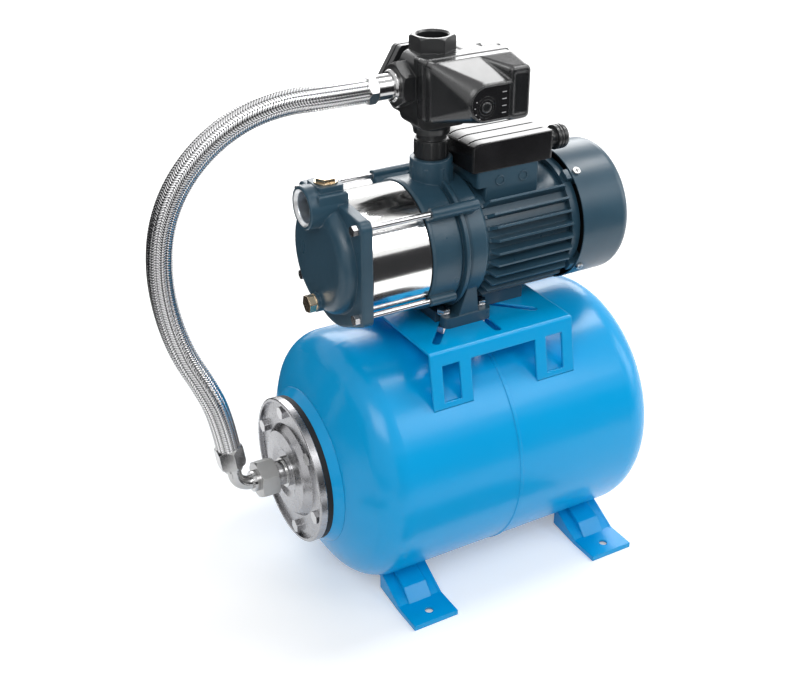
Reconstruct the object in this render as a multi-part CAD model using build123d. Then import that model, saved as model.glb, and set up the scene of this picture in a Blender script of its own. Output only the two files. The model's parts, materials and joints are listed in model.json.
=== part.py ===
from build123d import *
from math import atan2, cos, degrees, radians, sin, sqrt, tan
import os

# Booster pump set. Origin: centre of the four foot holes, on the floor. +X to the motor, +Z up.

# Tank
tank_radius = 140.0
tank_straight = 279.0
tank_mid_x = -3.0
tank_wall = 1.8
head_crown = 224.0
head_knuckle = 40.0
tank_floor_gap = 5.0
seam_x = -10.5
weld_bead_width = 6.0
weld_bead_height = 1.0

# Tank mouth, flange and membrane
mouth_radius = 52.0
neck_radius = 76.0
neck_foot_radius = 87.0
neck_stand_off = 2.5
neck_depth = 20.0
lip_thickness = 2.5
membrane_wall = 2.0
membrane_radius = 104.0
membrane_reach = 250.0
flange_radius = 80.3
flange_sheet = 3.0
flange_rim_depth = 8.0
flange_bolt_circle = 67.0
flange_bolt_count = 6
flange_bolt_start = 41.0
m8_shank = 4.0
m8_head_flats = 13.0
m8_head_height = 5.3
bolt_clearance = 0.3

# Hose line
nipple_radius = 13.5
nipple_bore = 10.0
nipple_length = 24.0
union_grip = 6.0
union_flats = 37.5
union_length = 20.0
collar_radius = 11.3
elbow_tube_radius = 7.5
elbow_tube_wall = 1.3
elbow_bend = 18.0
elbow_turn = 82.0
hose_radius = 13.0
hose_nut_flats = 27.0
hose_nut_length = 30.0
hose_nut_grip = 8.0
barrel_radius = 12.6

# Feet and platform
foot_spacing_x = 237.0
foot_width = 54.0
foot_half_length = 147.0
foot_hole_inset = 16.0
foot_pad_length = 35.0
foot_sheet = 2.5
foot_lip = 6.0
foot_hole_radius = 4.5
saddle_half_width = 74.0
plate_top_z = 300.0
plate_sheet = 2.5
plate_x0 = -99.5
plate_x1 = 76.5
plate_half_width = 94.0
skirt_lean = 10.0
skirt_reach = 75.0
leg_width = 48.0
window_width = 21.0
skirt_depth = 15.5
slot_clearance = 0.3
weld_gap = 0.1

# Pump
shaft_height = 80.0
casing_face_x = -149.0
casing_flange = 12.0
sleeve_radius = 67.6
sleeve_wall = 1.5
sleeve_length = 69.0
stage_count = 3
impeller_radius = 50.0
impeller_width = 9.0
dish_radius = 60.0
dish_front_x = -176.0
dish_lift = 6.0
dish_round = 13.0
rod_half_spread = 60.5
rod_rise = 56.0
rod_drop = 39.0
lobe_radius = 9.0
rod_boss_radius = 5.7
upper_boss_length = 54.0
lower_boss_length = 29.0
tie_bolt_radius = 3.2
tie_bolt_flats = 10.0
suction_height = 63.0
suction_face_x = -190.0
suction_boss_radius = 22.0
port_thread_radius = 15.5
port_thread_length = 18.0
port_seat_radius = 18.6
drain_drop = 42.0
plug_flats = 17.0
plug_thread_radius = 6.5
bracket_radius = 70.0
bracket_end_x = -10.0
tower_x = -43.5
tower_radius = 22.5
tower_rise = 91.0
foot_plate_x0 = -58.0
foot_plate_x1 = 0.0
foot_plate_half_y = 56.5
foot_plate_thickness = 12.0
foot_bolt_y = 41.0
foot_bolt_inset = 7.0

# Shaft and motor
shaft_pump_radius = 6.0
shaft_bearing_radius = 7.5
shaft_core_radius = 11.0
running_clearance = 0.05
frame_bore = 55.0
frame_root_radius = 60.0
fin_tip_radius = 72.0
fin_pitch = 11.25
fin_root_width = 4.4
fin_tip_width = 2.4
frame_end_x = 92.0
core_x0 = 14.0
core_length = 58.0
rotor_radius = 28.0
air_gap = 0.35
shield_radius = 66.0
shield_thickness = 10.0
cover_radius = 73.5
cover_sheet = 1.2
cover_x0 = 101.7
cover_x1 = 165.0
cover_round = 12.0
cover_screw_angle = 54.0
fan_radius = 57.0
fan_blades = 8
box_x0 = -13.0
box_x1 = 62.0
box_half_width = 41.0
box_rise = 80.0
box_wall = 3.0
lid_x0 = -19.8
lid_x1 = 77.0
lid_half_width = 42.5
lid_height = 30.0
lid_wall = 2.5
gland_y = -25.0
gland_radius = 13.0

# Controller: heights are from the side port's axis
side_port_rise = 79.0
ctrl_half_width = 30.0
ctrl_below = 43.0
ctrl_above = 30.0
ctrl_round = 12.0
ctrl_front_y = -24.0
ctrl_rear_y = 12.0
cap_seat_y = 30.0
port_hex_flats = 40.0
top_port_above = 45.0
side_port_x = -87.0
waterway_radius = 10.0
cap_below = 4.0
cap_half_width = 43.0
cap_half_height = 34.0
cap_corner_x = 22.0
cap_dome_radius = 31.0
cap_depth = 20.0
cover_x_right = 24.0
cover_below = 28.5
cover_skirt = 11.0
cover_shoulder_y = -45.0
panel_y = -73.0
panel_left_x = -45.5
panel_right_x = 0.0
block_back_x = -19.0
panel_above = 11.0
block_above = 23.5
button_x = -26.5
button_below = 11.5
button_radius = 5.5
valve_radius = 8.5
valve_stem_radius = 2.0
spring_coils = 4

# Derived places
foot_pad_inner_y = foot_half_length - foot_pad_length
foot_hole_y = foot_half_length - foot_hole_inset
tank_z = tank_floor_gap + tank_radius
pump_z = plate_top_z + shaft_height
bracket_face_x = casing_face_x + sleeve_length
plate_bottom_z = plate_top_z - plate_sheet
ctrl_x = tower_x
tower_top_z = pump_z + tower_rise
box_top_z = pump_z + box_rise
side_port_z = tower_top_z + side_port_rise
ctrl_bottom_z = side_port_z - ctrl_below
ctrl_top_z = side_port_z + ctrl_above
top_port_z = side_port_z + top_port_above
cap_z = side_port_z - cap_below
cover_bottom_z = side_port_z - cover_below
panel_top_z = side_port_z + panel_above
block_top_z = side_port_z + block_above
button_z = side_port_z - button_below
foot_bolt_x0 = foot_plate_x0 + foot_bolt_inset
foot_bolt_x1 = foot_plate_x1 - foot_bolt_inset
rod_places = [(-rod_half_spread, rod_rise), (rod_half_spread, rod_rise), (rod_half_spread, -rod_drop),
              (-rod_half_spread, -rod_drop)]
BASE = (Align.CENTER, Align.CENTER, Align.MIN)


def rod_x(radius, x0, x1, y=0.0, z=0.0):
    """Round bar along X."""
    return Pos(x0, y, z) * Rot(0, 90, 0) * Cylinder(radius, x1 - x0, align=BASE)


def rod_y(radius, y0, y1, x=0.0, z=0.0):
    """Round bar along Y."""
    return Pos(x, y0, z) * Rot(-90, 0, 0) * Cylinder(radius, y1 - y0, align=BASE)


def rod_z(radius, z0, z1, x=0.0, y=0.0):
    """Round bar along Z."""
    return Pos(x, y, z0) * Cylinder(radius, z1 - z0, align=BASE)


def tube_x(outer, inner, x0, x1, y=0.0, z=0.0):
    """Round tube along X."""
    return rod_x(outer, x0, x1, y, z) - rod_x(inner, x0 - 1, x1 + 1, y, z)


def hex_bar(flats, length, turn=0.0):
    """Hexagon bar along Z from the origin."""
    return extrude(Rot(0, 0, turn) * RegularPolygon(flats / 2, 6, major_radius=False), length)


def hex_x(flats, x0, x1, y=0.0, z=0.0, turn=0.0):
    """Hexagon bar along X."""
    return Pos(x0, y, z) * Rot(0, 90, 0) * hex_bar(flats, x1 - x0, turn)


def block(x0, x1, y0, y1, z0, z1):
    """Box between two opposite corners."""
    return Pos((x0 + x1) / 2, (y0 + y1) / 2, (z0 + z1) / 2) * Box(x1 - x0, y1 - y0, z1 - z0)


def turned_z(corners, x=0.0, y=0.0):
    """Solid of revolution about a vertical line; corners are (radius, z)."""
    return Pos(x, y, 0) * revolve(make_face(Plane.XZ * Polyline(*corners, close=True)), Axis.Z)


def turned_x(corners, axis_z):
    """Solid of revolution about the X line at height axis_z; corners are (x, radius)."""
    face = make_face(Plane.XZ * Polyline(*corners, close=True))
    return Pos(0, 0, axis_z) * revolve(face, Axis.X)


def turned_y(corners, x, z):
    """Solid of revolution about a line along Y; corners are (radius, y)."""
    return Pos(x, 0, z) * Rot(-90, 0, 0) * turned_z(corners)


def around_x(part, count, start, axis_z, radius):
    """Copies of a part made at the origin, set on a circle about the X line at height axis_z."""
    copies = []
    for index in range(count):
        angle = radians(start + 360 / count * index)
        copies.append(Pos(0, -radius * cos(angle), axis_z + radius * sin(angle)) * part)
    return copies


def head_depth(radius, knuckle, crown):
    """Depth of a dished end made of a crown arc and a knuckle arc."""
    return crown - sqrt((crown - knuckle) ** 2 - (radius - knuckle) ** 2)


def dished_vessel(radius, knuckle, crown, straight, mid_x, axis_z):
    """Solid cylinder along X with a dished end on each side."""
    end = straight / 2
    apex = end + head_depth(radius, knuckle, crown)
    crown_x = apex - crown
    lean = degrees(atan2(radius - knuckle, end - crown_x))
    outline = Line((-apex, 0), (apex, 0)) + Line((-end, radius), (end, radius))
    outline += CenterArc((end, radius - knuckle), knuckle, lean, 90 - lean)
    outline += CenterArc((crown_x, 0), crown, 0, lean)
    outline += CenterArc((-end, radius - knuckle), knuckle, 90, 90 - lean)
    outline += CenterArc((-crown_x, 0), crown, 180 - lean, lean)
    return Pos(mid_x, 0, axis_z) * revolve(make_face(Plane.XZ * outline), Axis.X)


def washer_head_bolt_x(shank, length, flats, height):
    """Hexagon screw along +X: head before the origin, shank after it."""
    head = hex_x(flats, -height, 0) & rod_x(flats * 0.56, -height, 0)
    return head + rod_x(shank, 0, length)


# Tank shell with a weld bead round the middle
tank_apex_x = tank_straight / 2 + head_depth(tank_radius, head_knuckle, head_crown)
tank_front_x = tank_mid_x - tank_apex_x
tank_rear_x = tank_mid_x + tank_apex_x
tank_body = dished_vessel(tank_radius, head_knuckle, head_crown, tank_straight, tank_mid_x, tank_z)
tank_inside = dished_vessel(tank_radius - tank_wall, head_knuckle - tank_wall,
                            head_crown - tank_wall, tank_straight, tank_mid_x, tank_z)
bead = turned_x([(seam_x - weld_bead_width / 2, tank_radius - 1),
                 (seam_x - weld_bead_width / 4, tank_radius + weld_bead_height),
                 (seam_x + weld_bead_width / 4, tank_radius + weld_bead_height),
                 (seam_x + weld_bead_width / 2, tank_radius - 1)], tank_z)
valve_hole_radius = 4.0
tank_shell = (tank_body + bead) - tank_inside
tank_shell -= rod_x(mouth_radius, tank_front_x - 5, tank_front_x + 40, 0, tank_z)
tank_shell -= rod_x(valve_hole_radius, tank_rear_x - 20, tank_rear_x + 5, 0, tank_z)

# Welded neck ring with threaded holes
neck_face_x = tank_front_x + neck_stand_off
flange_back_x = neck_face_x - lip_thickness
flange_face_x = flange_back_x - flange_sheet
bolt_depth = flange_sheet + lip_thickness + 6.0
neck_foot_x = tank_front_x + head_crown - sqrt(head_crown ** 2 - neck_foot_radius ** 2)
tank_neck_ring = turned_x([(neck_face_x, mouth_radius), (neck_face_x, neck_radius),
                           (neck_foot_x, neck_foot_radius), (tank_front_x + neck_depth, neck_foot_radius),
                           (tank_front_x + neck_depth, mouth_radius)], tank_z)
tank_neck_ring -= dished_vessel(tank_radius + weld_gap, head_knuckle + weld_gap, head_crown + weld_gap,
                                tank_straight, tank_mid_x, tank_z)
bolt_hole = rod_x(m8_shank + 0.05, neck_face_x - 1, flange_face_x + bolt_depth + 1)
for hole in around_x(bolt_hole, flange_bolt_count, flange_bolt_start, tank_z, flange_bolt_circle):
    tank_neck_ring -= hole

# Rubber bladder with its clamped lip
bag_throat = mouth_radius - 2.0
bag_front_x = tank_front_x + 24
bag_rear_x = tank_front_x + membrane_reach
tank_membrane = turned_x([
    (flange_back_x, bag_throat - membrane_wall), (flange_back_x, neck_radius + 1.5),
    (neck_face_x, neck_radius + 1.5), (neck_face_x, bag_throat), (bag_front_x, bag_throat),
    (bag_front_x + 36, membrane_radius), (bag_rear_x - 45, membrane_radius),
    (bag_rear_x - 10, membrane_radius * 0.6), (bag_rear_x, 0), (bag_rear_x - membrane_wall, 0),
    (bag_rear_x - 11.5, membrane_radius * 0.6 - membrane_wall),
    (bag_rear_x - 46, membrane_radius - membrane_wall),
    (bag_front_x + 37, membrane_radius - membrane_wall), (bag_front_x + 1, bag_throat - membrane_wall)],
    tank_z)
flange_hole = rod_x(m8_shank + bolt_clearance, flange_face_x - 1, neck_face_x + 1)
lip_holes = around_x(flange_hole, flange_bolt_count, flange_bolt_start, tank_z, flange_bolt_circle)
for hole in lip_holes:
    tank_membrane -= hole

# Pressed steel cover plate: rolled rim, flat bolt land, raised dish and nozzle seat
dish_rise = 9.0
nozzle_radius = nipple_radius + weld_gap
rim_front_x = flange_back_x + 1.0 - flange_rim_depth
tank_flange = turned_x([
    (flange_face_x, flange_radius - 4.3), (rim_front_x, flange_radius - 3.6),
    (rim_front_x, flange_radius - 0.8), (rim_front_x + 0.8, flange_radius),
    (flange_back_x + 1.0, flange_radius), (flange_back_x + 1.0, flange_radius - 2.2),
    (flange_back_x, flange_radius - 2.2), (flange_back_x, 50.0),
    (flange_back_x - dish_rise + 2, 44.5), (flange_back_x - dish_rise, 31.0),
    (flange_back_x - dish_rise + 3, 24.0), (flange_back_x - dish_rise + 3, nozzle_radius),
    (flange_face_x - dish_rise + 3, nozzle_radius), (flange_face_x - dish_rise + 3, 22.5),
    (flange_face_x - dish_rise, 29.5), (flange_face_x - dish_rise + 1, 45.5),
    (flange_face_x - dish_rise + 3, 47.5), (flange_face_x, 52.0)], tank_z)
for hole in lip_holes:
    tank_flange -= hole
flange_bolt = Pos(flange_face_x, 0, 0) * washer_head_bolt_x(
    m8_shank, bolt_depth, m8_head_flats, m8_head_height)
flange_bolts = Compound(around_x(flange_bolt, flange_bolt_count, flange_bolt_start, tank_z,
                                 flange_bolt_circle))

# Nipple, union nut and elbow
nipple_back_x = flange_back_x - dish_rise + 3
nipple_front_x = nipple_back_x - nipple_length
union_x1 = nipple_front_x + union_grip
union_x0 = union_x1 - union_length
nipple_weld = tube_x(nipple_radius + 3, nipple_radius, flange_face_x - dish_rise - 1.5,
                     flange_face_x - dish_rise + 3, 0, tank_z)
flange_nipple = tube_x(nipple_radius, nipple_bore, nipple_front_x, nipple_back_x + 4, 0, tank_z)
flange_nipple += nipple_weld
thread_clearance = 0.1
union_nut = hex_x(union_flats, union_x0, union_x1, 0, tank_z)
union_nut &= turned_x([(union_x0, 0), (union_x0, union_flats / 2 + 0.6),
                       (union_x0 + 1.8, union_flats / 2 + 3.2), (union_x1 - 1.8, union_flats / 2 + 3.2),
                       (union_x1, union_flats / 2 + 0.6), (union_x1, 0)], tank_z)
union_nut -= rod_x(nipple_radius + thread_clearance, nipple_front_x, union_x1 + 1, 0, tank_z)
union_nut -= rod_x(collar_radius + thread_clearance, union_x0 - 1, nipple_front_x + 1, 0, tank_z)
collar_x0 = union_x0 - 6.0
bend_z = tank_z + elbow_bend
elbow_end = Vector(collar_x0 - elbow_bend * sin(radians(elbow_turn)), 0,
                   bend_z - elbow_bend * cos(radians(elbow_turn)))
hose_way = Vector(-cos(radians(elbow_turn)), 0, sin(radians(elbow_turn)))
elbow_tip = elbow_end + hose_way * (hose_nut_grip + 14)
elbow_line = Line((nipple_front_x, 0, tank_z), (collar_x0, 0, tank_z))
elbow_line += Plane.XZ * JernArc((collar_x0, tank_z), (-1, 0), elbow_bend, -elbow_turn)
elbow_line += Line(elbow_end, elbow_tip)


def elbow_bar(radius):
    """Solid bar of the elbow's path."""
    return sweep(Plane(elbow_line @ 0, z_dir=elbow_line % 0) * Circle(radius), path=elbow_line)


union_elbow = elbow_bar(elbow_tube_radius)
union_elbow += rod_x(collar_radius, collar_x0, nipple_front_x, 0, tank_z)
union_elbow -= elbow_bar(elbow_tube_radius - elbow_tube_wall)

# Lower hose nut, set square to the elbow's leg
nut_neck = 7.0
nut_cut = hose_nut_length - 14
lower_nut = hex_bar(hose_nut_flats, hose_nut_length - nut_neck + 1)
lower_nut = Pos(0, 0, nut_neck - 1) * lower_nut
lower_nut &= turned_z([(0, 0), (hose_nut_flats / 2 - 1, 0), (hose_nut_flats / 2 + 2.2, nut_neck + 3),
                       (hose_nut_flats / 2 + 2.2, hose_nut_length - 4),
                       (hose_nut_flats / 2, hose_nut_length), (0, hose_nut_length)])
lower_nut += rod_z(hose_nut_flats / 2 - 3.5, 0, nut_neck)
lower_nut -= rod_z(elbow_tube_radius + thread_clearance, -1, nut_cut)
nut_seat = Plane(elbow_end + hose_way * hose_nut_grip, x_dir=(0, 1, 0), z_dir=hose_way)
hose_lower_nut = nut_seat * lower_nut
hose_start = elbow_end + hose_way * (hose_nut_grip + hose_nut_length)

# Braided hose: straight runs joined by arcs as large as the runs allow; it bows to the far side,
# clear of the way of a suction pipe
upper_nut_x1 = side_port_x - 5.0
barrel_length = 16.0
collar_length = 12.0
hose_end_x = upper_nut_x1 - barrel_length - collar_length
hose_points = [
    (hose_start.X, 0, hose_start.Z),
    (-290.7, 0, 237.5),
    (-301.9, 7.0, 270.9),
    (-316.8, 19.0, 304.1),
    (-325.1, 31.0, 342.9),
    (-326.7, 40.0, 387.8),
    (-318.8, 44.0, 433.5),
    (-299.4, 43.0, 474.2),
    (-270.4, 37.0, 508.6),
    (-235.4, 26.0, 534.4),
    (-198.3, 12.0, 547.9),
    (-160.6, 0, side_port_z),
    (hose_end_x, 0, side_port_z)]


def corner_radii(points):
    """Arc at each corner: 0.45 of the shorter run over the tangent of half the turn."""
    radii = []
    for before, corner, after in zip(points, points[1:], points[2:]):
        first = Vector(*corner) - Vector(*before)
        second = Vector(*after) - Vector(*corner)
        turn = radians(first.get_angle(second))
        radii.append(0.45 * min(first.length, second.length) / tan(turn / 2))
    return radii


hose_radii = corner_radii(hose_points)
hose_line = FilletPolyline(*hose_points, radius=hose_radii)
braided_hose = sweep(Plane(hose_line @ 0, z_dir=hose_line % 0) * Circle(hose_radius), path=hose_line)
print("hose arcs", [round(radius) for radius in hose_radii], "length", round(hose_line.length, 1))
print("hose volume over section times length",
      round(braided_hose.volume / (3.14159265 * hose_radius ** 2 * hose_line.length), 4))

# Upper hose nut and the bush in the controller's side port
collar_x1 = hose_end_x + collar_length
hose_upper_nut = hex_x(hose_nut_flats - 1, hose_end_x, collar_x1, 0, side_port_z, 30)
hose_upper_nut &= turned_x([(hose_end_x, 0), (hose_end_x, barrel_radius), (hose_end_x + 2.5, barrel_radius + 2.4),
                            (collar_x1 - 2.5, barrel_radius + 2.4), (collar_x1, barrel_radius - 0.4),
                            (collar_x1, 0)], side_port_z)
hose_upper_nut += rod_x(barrel_radius, collar_x1, upper_nut_x1, 0, side_port_z)
hose_upper_nut -= rod_x(6.0, collar_x1, upper_nut_x1 + 1, 0, side_port_z)
bush_bore = 6.0
port_bush = turned_x([
    (upper_nut_x1, bush_bore), (upper_nut_x1, barrel_radius + 1.6), (upper_nut_x1 + 2, barrel_radius + 3.4),
    (side_port_x, barrel_radius + 3.4), (side_port_x, port_thread_radius - thread_clearance),
    (side_port_x + 14, port_thread_radius - thread_clearance), (side_port_x + 14, bush_bore)], side_port_z)


# Feet: pressed saddle strips with turned-down lips and a raised rib on each slope
def foot(centre_x):
    """Cross bracket under the tank at centre_x."""
    saddle_r = tank_radius + weld_gap
    top_y = saddle_half_width
    top_z = tank_z - sqrt(saddle_r ** 2 - top_y ** 2)
    under = Vector(0, tank_z - saddle_r - foot_sheet)
    outer_r = saddle_r + foot_sheet
    low_y = top_y + 2.0
    low_z = tank_z - sqrt(outer_r ** 2 - low_y ** 2)
    pad_z = foot_lip - foot_sheet
    outline = Polyline((-low_y, low_z), (-foot_pad_inner_y, pad_z), (-foot_half_length, pad_z),
                       (-foot_half_length, foot_lip), (-foot_pad_inner_y + 1, foot_lip), (-top_y, top_z))
    outline += ThreePointArc((-top_y, top_z), (0, tank_z - saddle_r), (top_y, top_z))
    outline += Polyline((top_y, top_z), (foot_pad_inner_y - 1, foot_lip), (foot_half_length, foot_lip),
                        (foot_half_length, pad_z), (foot_pad_inner_y, pad_z), (low_y, low_z))
    outline += ThreePointArc((low_y, low_z), (under.X, under.Y), (-low_y, low_z))
    strip = extrude(Plane.YZ * make_face(outline), foot_width / 2, both=True)
    for side in (-1, 1):
        end_lip = Box(foot_width, foot_sheet, foot_lip, align=BASE)
        strip += Pos(0, side * (foot_half_length - foot_sheet / 2), 0) * end_lip
        for lip_x0 in (-foot_width / 2, foot_width / 2 - foot_sheet):
            cheek = Polyline((side * foot_half_length, 0), (side * foot_half_length, foot_lip),
                             (side * foot_pad_inner_y, foot_lip), (side * top_y, top_z),
                             (side * (top_y - 4), top_z - 4), (side * (top_y - 4), 4.5),
                             (side * foot_pad_inner_y, 0), close=True)
            cheek_plate = extrude(Plane.YZ * make_face(cheek), foot_sheet)
            strip += Pos(lip_x0, 0, 0) * (cheek_plate & block(-1, foot_sheet + 1, -200, 200, 0, 60))
        rib = Polyline((side * (foot_pad_inner_y + 1), foot_lip - 0.5), (side * (foot_pad_inner_y - 12), 19.5),
                       (side * (top_y + 4), top_z + 2.2), (side * (top_y + 4), top_z - 4),
                       (side * (foot_pad_inner_y - 6), foot_lip - 0.5), close=True)
        strip += extrude(Plane.YZ * make_face(rib), foot_width / 2 - 13, both=True)
        strip -= rod_z(foot_hole_radius, -1, foot_lip + 1, 0, side * foot_hole_y)
    strip -= rod_x(tank_radius + weld_gap, -foot_width, foot_width, 0, tank_z)
    return Pos(centre_x, 0, 0) * strip


tank_foot_front = foot(-foot_spacing_x / 2)
tank_foot_rear = foot(foot_spacing_x / 2)

# Platform: folded plate, leaning skirts cut to the tank, windows and mounting slots
skirt_bottom_z = plate_top_z - skirt_reach
lean_run = (plate_top_z - skirt_bottom_z) * tan(radians(skirt_lean))
fold_round = 4.0
skirt_edge = plate_half_width + lean_run
sheet_run = plate_sheet / cos(radians(skirt_lean))
platform_outline = Polyline(
    (-skirt_edge, skirt_bottom_z), (-plate_half_width, plate_top_z), (plate_half_width, plate_top_z),
    (skirt_edge, skirt_bottom_z), (skirt_edge - sheet_run, skirt_bottom_z),
    (plate_half_width - sheet_run, plate_bottom_z), (-plate_half_width + sheet_run, plate_bottom_z),
    (-skirt_edge + sheet_run, skirt_bottom_z), close=True)
pump_platform = Pos(plate_x0, 0, 0) * extrude(Plane.YZ * make_face(platform_outline), plate_x1 - plate_x0)
pump_platform = fillet(pump_platform.edges().filter_by(Axis.X).group_by(Axis.Z)[-1], fold_round)
opening_z = plate_top_z - skirt_depth
pump_platform -= block(plate_x0 + leg_width, plate_x1 - leg_width, -200, 200, 0, opening_z)
window_inset = (leg_width - window_width) / 2
window_bottom_z = opening_z - 40.0
for window_x in (plate_x0 + window_inset, plate_x1 - window_inset - window_width):
    window = block(window_x, window_x + window_width, -200, 200, window_bottom_z, opening_z)
    pump_platform -= window
pump_platform -= rod_x(tank_radius + weld_gap, plate_x0 - 10, plate_x1 + 10, 0, tank_z)
slot_width = 2 * (m8_shank + slot_clearance)
slot_ends = [((foot_bolt_x0, -foot_bolt_y), (-80, -75)), ((foot_bolt_x1, -foot_bolt_y), (-9, -80)),
             ((18, -29), (50, -61))]
for start, end in slot_ends:
    for side in (-1, 1):
        slot = SlotCenterToCenter(sqrt((end[0] - start[0]) ** 2 + (end[1] - start[1]) ** 2), slot_width)
        turn = degrees(atan2(side * (end[1] - start[1]), end[0] - start[0]))
        middle = ((start[0] + end[0]) / 2, side * (start[1] + end[1]) / 2)
        pump_platform -= Pos(middle[0], middle[1], plate_bottom_z - 1) * Rot(0, 0, turn) * extrude(slot, 5)

# Gas valve at the far end
valve_boss_length = 12.0
air_valve_body = rod_x(9.0, tank_rear_x - 1, tank_rear_x + 5, 0, tank_z) - tank_body
air_valve_body += rod_x(valve_hole_radius - 0.1, tank_rear_x - 12, tank_rear_x + 5, 0, tank_z)
air_valve_body += rod_x(3.9, tank_rear_x + 5, tank_rear_x + 5 + valve_boss_length, 0, tank_z)
air_valve_cap = turned_x([
    (tank_rear_x + 5.0, 4.0), (tank_rear_x + 5.0, 6.5), (tank_rear_x + 18, 6.5), (tank_rear_x + 21, 4.5),
    (tank_rear_x + 21, 0), (tank_rear_x + 5.2 + valve_boss_length, 0),
    (tank_rear_x + 5.2 + valve_boss_length, 4.0)], tank_z)

# Suction casing: round dish on a flange that spans the four lobes, port boss, filling pad, drain boss
casing_inner = 46.0
lobe_front_x = casing_face_x - casing_flange
suction_z = pump_z + suction_height
flange_outline = Circle(sleeve_radius + 1.5)
for place_y, place_z in rod_places:
    flange_outline += Pos(place_y, place_z) * Circle(lobe_radius)
casing_plate = Pos(lobe_front_x, 0, pump_z) * extrude(Plane.YZ * make_hull(flange_outline.edges()), casing_flange)
suction_casing = fillet(casing_plate.edges().group_by(Axis.X)[0], 2.0)
dish = rod_x(dish_radius, dish_front_x, lobe_front_x + 1, 0, pump_z + dish_lift)
suction_casing += fillet(dish.edges().group_by(Axis.X)[0], dish_round)
suction_boss = rod_x(suction_boss_radius, suction_face_x, lobe_front_x + 2, 0, suction_z)
suction_casing += fillet(suction_boss.edges().group_by(Axis.X)[0], 1.5)
saddle_top_z = suction_z + suction_boss_radius - 5.5
pad_top_z = saddle_top_z + 6.0
pad_x0 = dish_front_x - 1
pad_x1 = casing_face_x
saddle = block(pad_x0 - 4, pad_x1, -21, 21, suction_z, saddle_top_z)
suction_casing += fillet(saddle.edges().group_by(Axis.Z)[-1], 2.5)
pad = block(pad_x0, pad_x1 - 1, -15, 15, saddle_top_z - 1, pad_top_z)
suction_casing += fillet(pad.edges().filter_by(Axis.Z), 3.0)
drain_z = pump_z - drain_drop
drain_face_x = dish_front_x - 4
suction_casing += rod_x(10.0, drain_face_x, dish_front_x + 14, 0, drain_z)
suction_casing -= rod_x(casing_inner, dish_front_x + 7, casing_face_x + 1, 0, pump_z)
suction_casing -= rod_x(port_thread_radius, suction_face_x - 1, suction_face_x + port_thread_length, 0, suction_z)
suction_casing -= rod_x(port_thread_radius - 2, suction_face_x, casing_face_x - 12, 0, suction_z)
port_seat_depth = port_seat_radius - port_thread_radius
port_seat = Cone(port_seat_radius, port_thread_radius, port_seat_depth, align=BASE)
suction_casing -= Pos(suction_face_x, 0, suction_z) * Rot(0, 90, 0) * port_seat
suction_casing -= block(casing_face_x - 22, casing_face_x - 12, -11, 11, pump_z + 30, suction_z)
priming_x = (pad_x0 + pad_x1) / 2
suction_casing -= rod_z(plug_thread_radius + 2, suction_z, pad_top_z + 1, priming_x, 0)
suction_casing -= rod_x(plug_thread_radius, drain_face_x - 1, dish_front_x + 9, 0, drain_z)


def at_rods(part, places):
    """Copies of a part made on the pump's axis, moved to tie bolt places."""
    return [Pos(0, place_y, pump_z + place_z) * part for place_y, place_z in places]


tie_hole = rod_x(tie_bolt_radius + bolt_clearance, lobe_front_x - 1, bracket_face_x + 30)
tie_holes = at_rods(tie_hole, rod_places)
for hole in tie_holes:
    suction_casing -= hole

priming_plug = Pos(priming_x, 0, pad_top_z) * (hex_bar(plug_flats + 2, 5.5) + rod_z(12.0, 0, 1.6))
priming_plug += rod_z(plug_thread_radius + 2 - thread_clearance, pad_top_z - 12, pad_top_z, priming_x, 0)
drain_plug = hex_x(plug_flats, drain_face_x - 9, drain_face_x - 1, 0, drain_z, 15)
drain_plug &= rod_x(plug_flats * 0.56, drain_face_x - 9, drain_face_x, 0, drain_z)
drain_plug += rod_x(9.4, drain_face_x - 1.2, drain_face_x, 0, drain_z)
drain_plug += rod_x(plug_thread_radius - thread_clearance, drain_face_x, drain_face_x + 10, 0, drain_z)

# Stainless sleeve and its two seals
seal_step = 1.8
pump_sleeve = tube_x(sleeve_radius, sleeve_radius - sleeve_wall, casing_face_x + seal_step,
                     bracket_face_x - seal_step, 0, pump_z)
sleeve_seals = Compound([
    tube_x(sleeve_radius - 0.6, sleeve_radius - 3, casing_face_x, casing_face_x + seal_step, 0, pump_z),
    tube_x(sleeve_radius - 0.6, sleeve_radius - 3, bracket_face_x - seal_step, bracket_face_x, 0, pump_z)])

# Tie bolts from the casing lobes into the bracket bosses
tie_bolt = Pos(lobe_front_x, 0, 0) * washer_head_bolt_x(
    tie_bolt_radius, bracket_face_x + 26 - lobe_front_x, tie_bolt_flats, 6.0)
tie_bolts = Compound(at_rods(tie_bolt, rod_places))

# Stages: a moulded diffuser cup and a closed impeller each
stage_length = (sleeve_length - 2 * seal_step - 1.4) / stage_count
stage_x0 = casing_face_x + seal_step + 0.7
eye_radius = 15.0
hub_radius = 9.5
vane_count = 6


def curved_vane(inner, outer, bow, thickness, width):
    """Blade along X whose outline curves from the inner to the outer radius."""
    middle = (inner + outer) / 2
    arc = ThreePointArc((inner, 0), (middle, bow), (outer * 0.86, outer * 0.55))
    return extrude(Plane.YZ * trace(arc, thickness), width) & rod_x(outer, -1, width + 1)


def diffuser(x0):
    """Cup with a back wall and return vanes; the impeller runs inside it."""
    x1 = x0 + stage_length
    cup_radius = sleeve_radius - sleeve_wall - 0.2
    cup = tube_x(cup_radius, cup_radius - 2.2, x0, x1 - 0.1, 0, pump_z)
    cup += tube_x(cup_radius, eye_radius + 1.5, x1 - 8, x1 - 5.8, 0, pump_z)
    vane = curved_vane(eye_radius + 6, cup_radius - 1, 5.0, 1.8, 5.8)
    for index in range(vane_count):
        cup += Pos(x1 - 6, 0, pump_z) * Rot(-360 / vane_count * index, 0, 0) * vane
    return cup


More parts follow.
